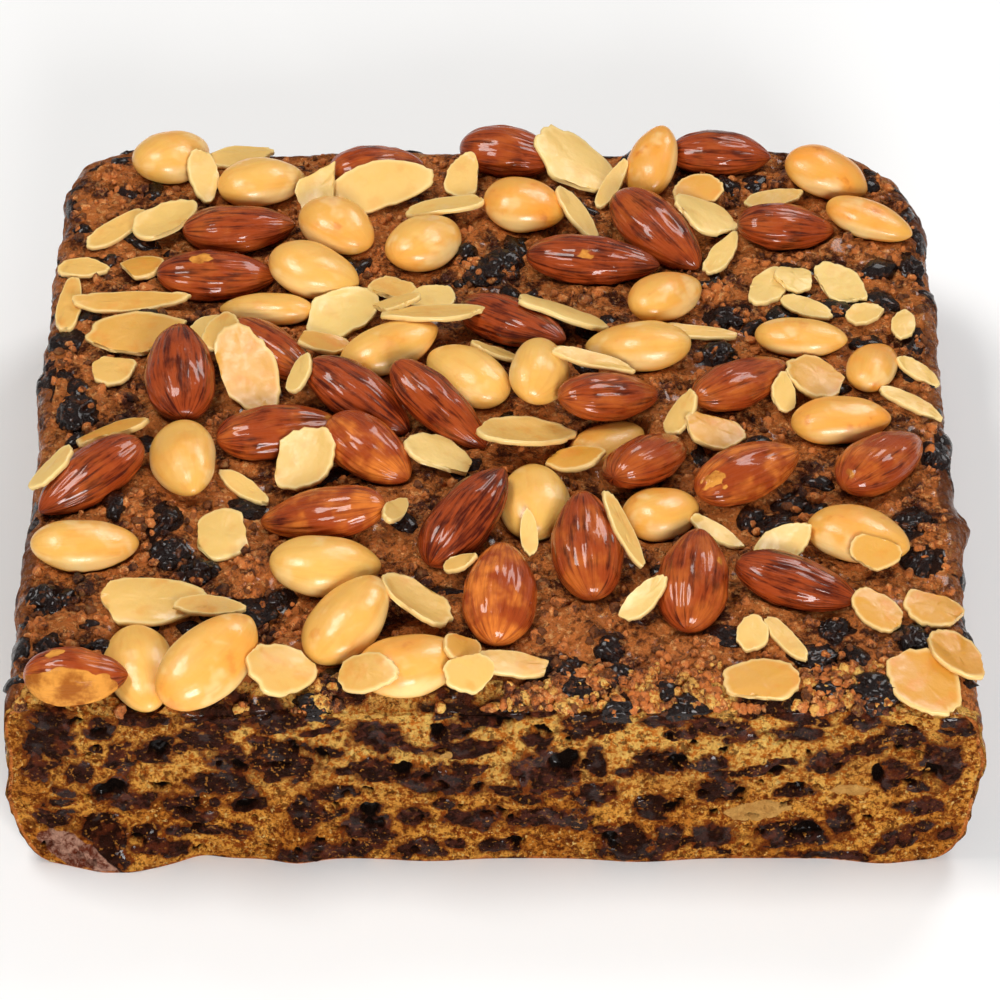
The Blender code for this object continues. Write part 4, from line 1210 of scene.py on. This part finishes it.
def flake_cloud(unit, seed, long, wide, thickness):
    """The points of one flake, lying flat, and how near its rim each is."""
    draw = np.random.default_rng(seed)
    polar, turn = np.arccos(np.clip(unit[:, 2], -1, 1)), np.arctan2(unit[:, 1], unit[:, 0])
    reach = np.clip(np.sin(polar), 0, 1) ** 0.8
    lid = np.clip(np.cos(polar) * LID, -1, 1)
    along = np.cos(turn)
    edge = np.stack([np.cos(turn), np.sin(turn), np.full(len(turn), seed * 3.7)], -1)
    ragged = 1 + 0.12 * noise_at(edge, 0.55) + 0.08 * noise_at(edge, 0.16)
    half = almond_profile(along, FLAKE_TIP)
    x = along * reach * long / 2 * ragged
    y = np.sign(np.sin(turn)) * half * reach * wide / 2 * ragged
    for _ in range(draw.integers(1, 4)):
        slant = draw.uniform(0, 2 * math.pi)
        across = x * math.cos(slant) + y * math.sin(slant)
        kept = draw.uniform(0.66, 0.95) if wide > SLIVER else draw.uniform(0.9, 1)
        limit = kept * across.max() * (1 + 0.07 * noise_at(edge, 0.3, 5))
        shrunk = np.where(across > limit, limit / np.maximum(across, 1e-6), 1)
        x, y = x * shrunk, y * shrunk
    bend, curl = draw.uniform(-0.05, 0.05), draw.uniform(-0.03, 0.03)
    wave = 0.18 * noise_at(np.stack([x, y, 0 * x + seed * 9], -1), 5.0)
    z = bend * y ** 2 * 0.6 + curl * x ** 2 * 0.3 + wave + lid * thickness / 2
    return np.stack([x, y, z], -1), reach


class CAKE_OT_flakes(bpy.types.Operator):
    """Scatters the flaked almonds, thin, bent and broken at their edges"""

    bl_idname = "cake.flakes"
    bl_label = "Flaked Almonds"

    def execute(self, context):
        nuts = context.scene.cake_nuts
        thickness = nuts.flake_thickness / MM
        ground = HeightMap(0)
        ground.heights = np.maximum(Kitchen.crust.heights, Kitchen.nuts.heights)
        bm, members, places = spheres(len(FLAKES), *FLAKE_MESH)
        rims, toasts = np.zeros(len(places)), np.zeros(len(places))
        for seed, (mine, row) in enumerate(zip(members, FLAKES), 1):
            x, y, heading, long, wide, toast = row
            cloud, reach = flake_cloud(places[mine], seed, long, wide, thickness)
            rest, pitch, roll = lie_down(cloud, ground, x, y, heading)
            placed = cloud @ turn_matrix(heading, pitch, roll).T + (x, y, rest)
            clear = np.clip(placed[:, 2] - ground.at(placed) - thickness, 0, MOST_SAG)
            placed[:, 2] -= 0.25 * clear
            ground.spread(placed, np.maximum)
            Kitchen.flakes.spread(placed, np.maximum)
            places[mine], rims[mine], toasts[mine] = placed, reach, toast
        put(bm, places)
        write_floats(bm, "rim", rims)
        write_floats(bm, "toast", toasts)
        bmesh.ops.recalc_face_normals(bm, faces=bm.faces)
        piece("flaked_almonds", bm, flake_finish(nuts), ["cake"])
        return {"FINISHED"}


class CAKE_OT_studio(bpy.types.Operator):
    """Sets the pale floor, the soft lights and the camera"""

    bl_idname = "cake.studio"
    bl_label = "Studio"

    def light(self, name, place, size, tint, power):
        lamp = bpy.data.lights.new(name, "AREA")
        lamp.shape, lamp.size, lamp.size_y = "RECTANGLE", *size
        lamp.energy, lamp.color = power, tint
        obj = bpy.data.objects.new(name, lamp)
        obj.location = place
        obj.rotation_euler = (LIT_PLACE - Vector(place)).to_track_quat("-Z", "Y").to_euler()
        bpy.context.scene.collection.objects.link(obj)

    def camera(self, scene):
        angle = math.radians(CAMERA_ANGLE)
        ahead = Vector((0, math.cos(angle), -math.sin(angle)))
        up = Vector((0, math.sin(angle), math.cos(angle)))
        aside = (EDGE_PIXEL[0] - PICTURE / 2) / LENS_PIXELS * CAMERA_FROM_EDGE
        above = (PICTURE / 2 - EDGE_PIXEL[1]) / LENS_PIXELS * CAMERA_FROM_EDGE
        edge = Vector((0, -DEPTH / 2, HEIGHT))
        place = edge - ahead * CAMERA_FROM_EDGE - up * above - Vector((aside, 0, 0))
        data = bpy.data.cameras.new("camera")
        data.lens, data.sensor_width = LENS_PIXELS / PICTURE * SENSOR, SENSOR
        data.clip_start = 0.01
        obj = bpy.data.objects.new("camera", data)
        obj.location = (place + Vector(CENTRING)) * MM
        obj.rotation_euler = (math.radians(90 - CAMERA_ANGLE), 0, 0)
        scene.collection.objects.link(obj)
        scene.camera = obj

    def execute(self, context):
        studio = context.scene.cake_studio
        scene = context.scene
        bm = bmesh.new()
        bmesh.ops.create_grid(bm, x_segments=2, y_segments=2, size=FLOOR_HALF)
        mesh = bpy.data.meshes.new("floor")
        bm.to_mesh(mesh)
        bm.free()
        floor = bpy.data.objects.new("floor", mesh)
        scene.collection.objects.link(floor)
        finish = Finish("floor")
        tone = finish.mix(finish.noise(0.4, 2.0), tuple(studio.floor), screen(255, 255, 255))
        mesh.materials.append(finish.set(Base_Color=tone, Roughness=0.9))
        world = bpy.data.worlds.new("studio")
        world.use_nodes = True
        world.node_tree.nodes["Background"].inputs[0].default_value = (1, 1, 1, 1)
        world.node_tree.nodes["Background"].inputs[1].default_value = studio.sky
        scene.world = world
        for name, place, size, tint in LIGHTS:
            self.light(name, place, size, tint, getattr(studio, name + "_power"))
        self.camera(scene)
        scene.view_settings.view_transform = "Standard"
        return {"FINISHED"}


class CAKE_PT_panel(bpy.types.Panel):
    """The cake's sizes, colours and steps"""

    bl_idname = "CAKE_PT_panel"
    bl_label = "Fruit Cake Slice"
    bl_space_type = "VIEW_3D"
    bl_region_type = "UI"
    bl_category = "Cake"

    def draw(self, context):
        for name in SETTINGS:
            group = getattr(context.scene, name)
            box = self.layout.box()
            for key in group.bl_rna.properties.keys():
                if key not in ("name", "rna_type"):
                    box.prop(group, key)
        for operator in OPERATORS:
            self.layout.operator(operator.bl_idname)


SETTINGS = {"cake_body": CakeSettings, "cake_nuts": NutSettings, "cake_studio": StudioSettings}
OPERATORS = (
    CAKE_OT_glazed_almonds,
    CAKE_OT_peeled_almonds,
    CAKE_OT_crust,
    CAKE_OT_cut_face,
    CAKE_OT_flakes,
    CAKE_OT_raisins,
    CAKE_OT_currants,
    CAKE_OT_crumbs,
    CAKE_OT_studio,
)


def register():
    """Adds the settings, the operators and the panel."""
    for name, group in SETTINGS.items():
        bpy.utils.register_class(group)
        setattr(bpy.types.Scene, name, bpy.props.PointerProperty(type=group))
    for cls in (*OPERATORS, CAKE_PT_panel):
        bpy.utils.register_class(cls)


def unregister():
    """Takes them away again."""
    for cls in (CAKE_PT_panel, *OPERATORS):
        bpy.utils.unregister_class(cls)
    for name, group in SETTINGS.items():
        delattr(bpy.types.Scene, name)
        bpy.utils.unregister_class(group)


def main():
    register()
    bpy.ops.cake.glazed_almonds()
    bpy.ops.cake.peeled_almonds()
    bpy.ops.cake.crust()
    bpy.ops.cake.cut_face()
    bpy.ops.cake.flakes()
    bpy.ops.cake.raisins()
    bpy.ops.cake.currants()
    bpy.ops.cake.crumbs()
    bpy.ops.cake.studio()


if __name__ == "__main__":
    main()
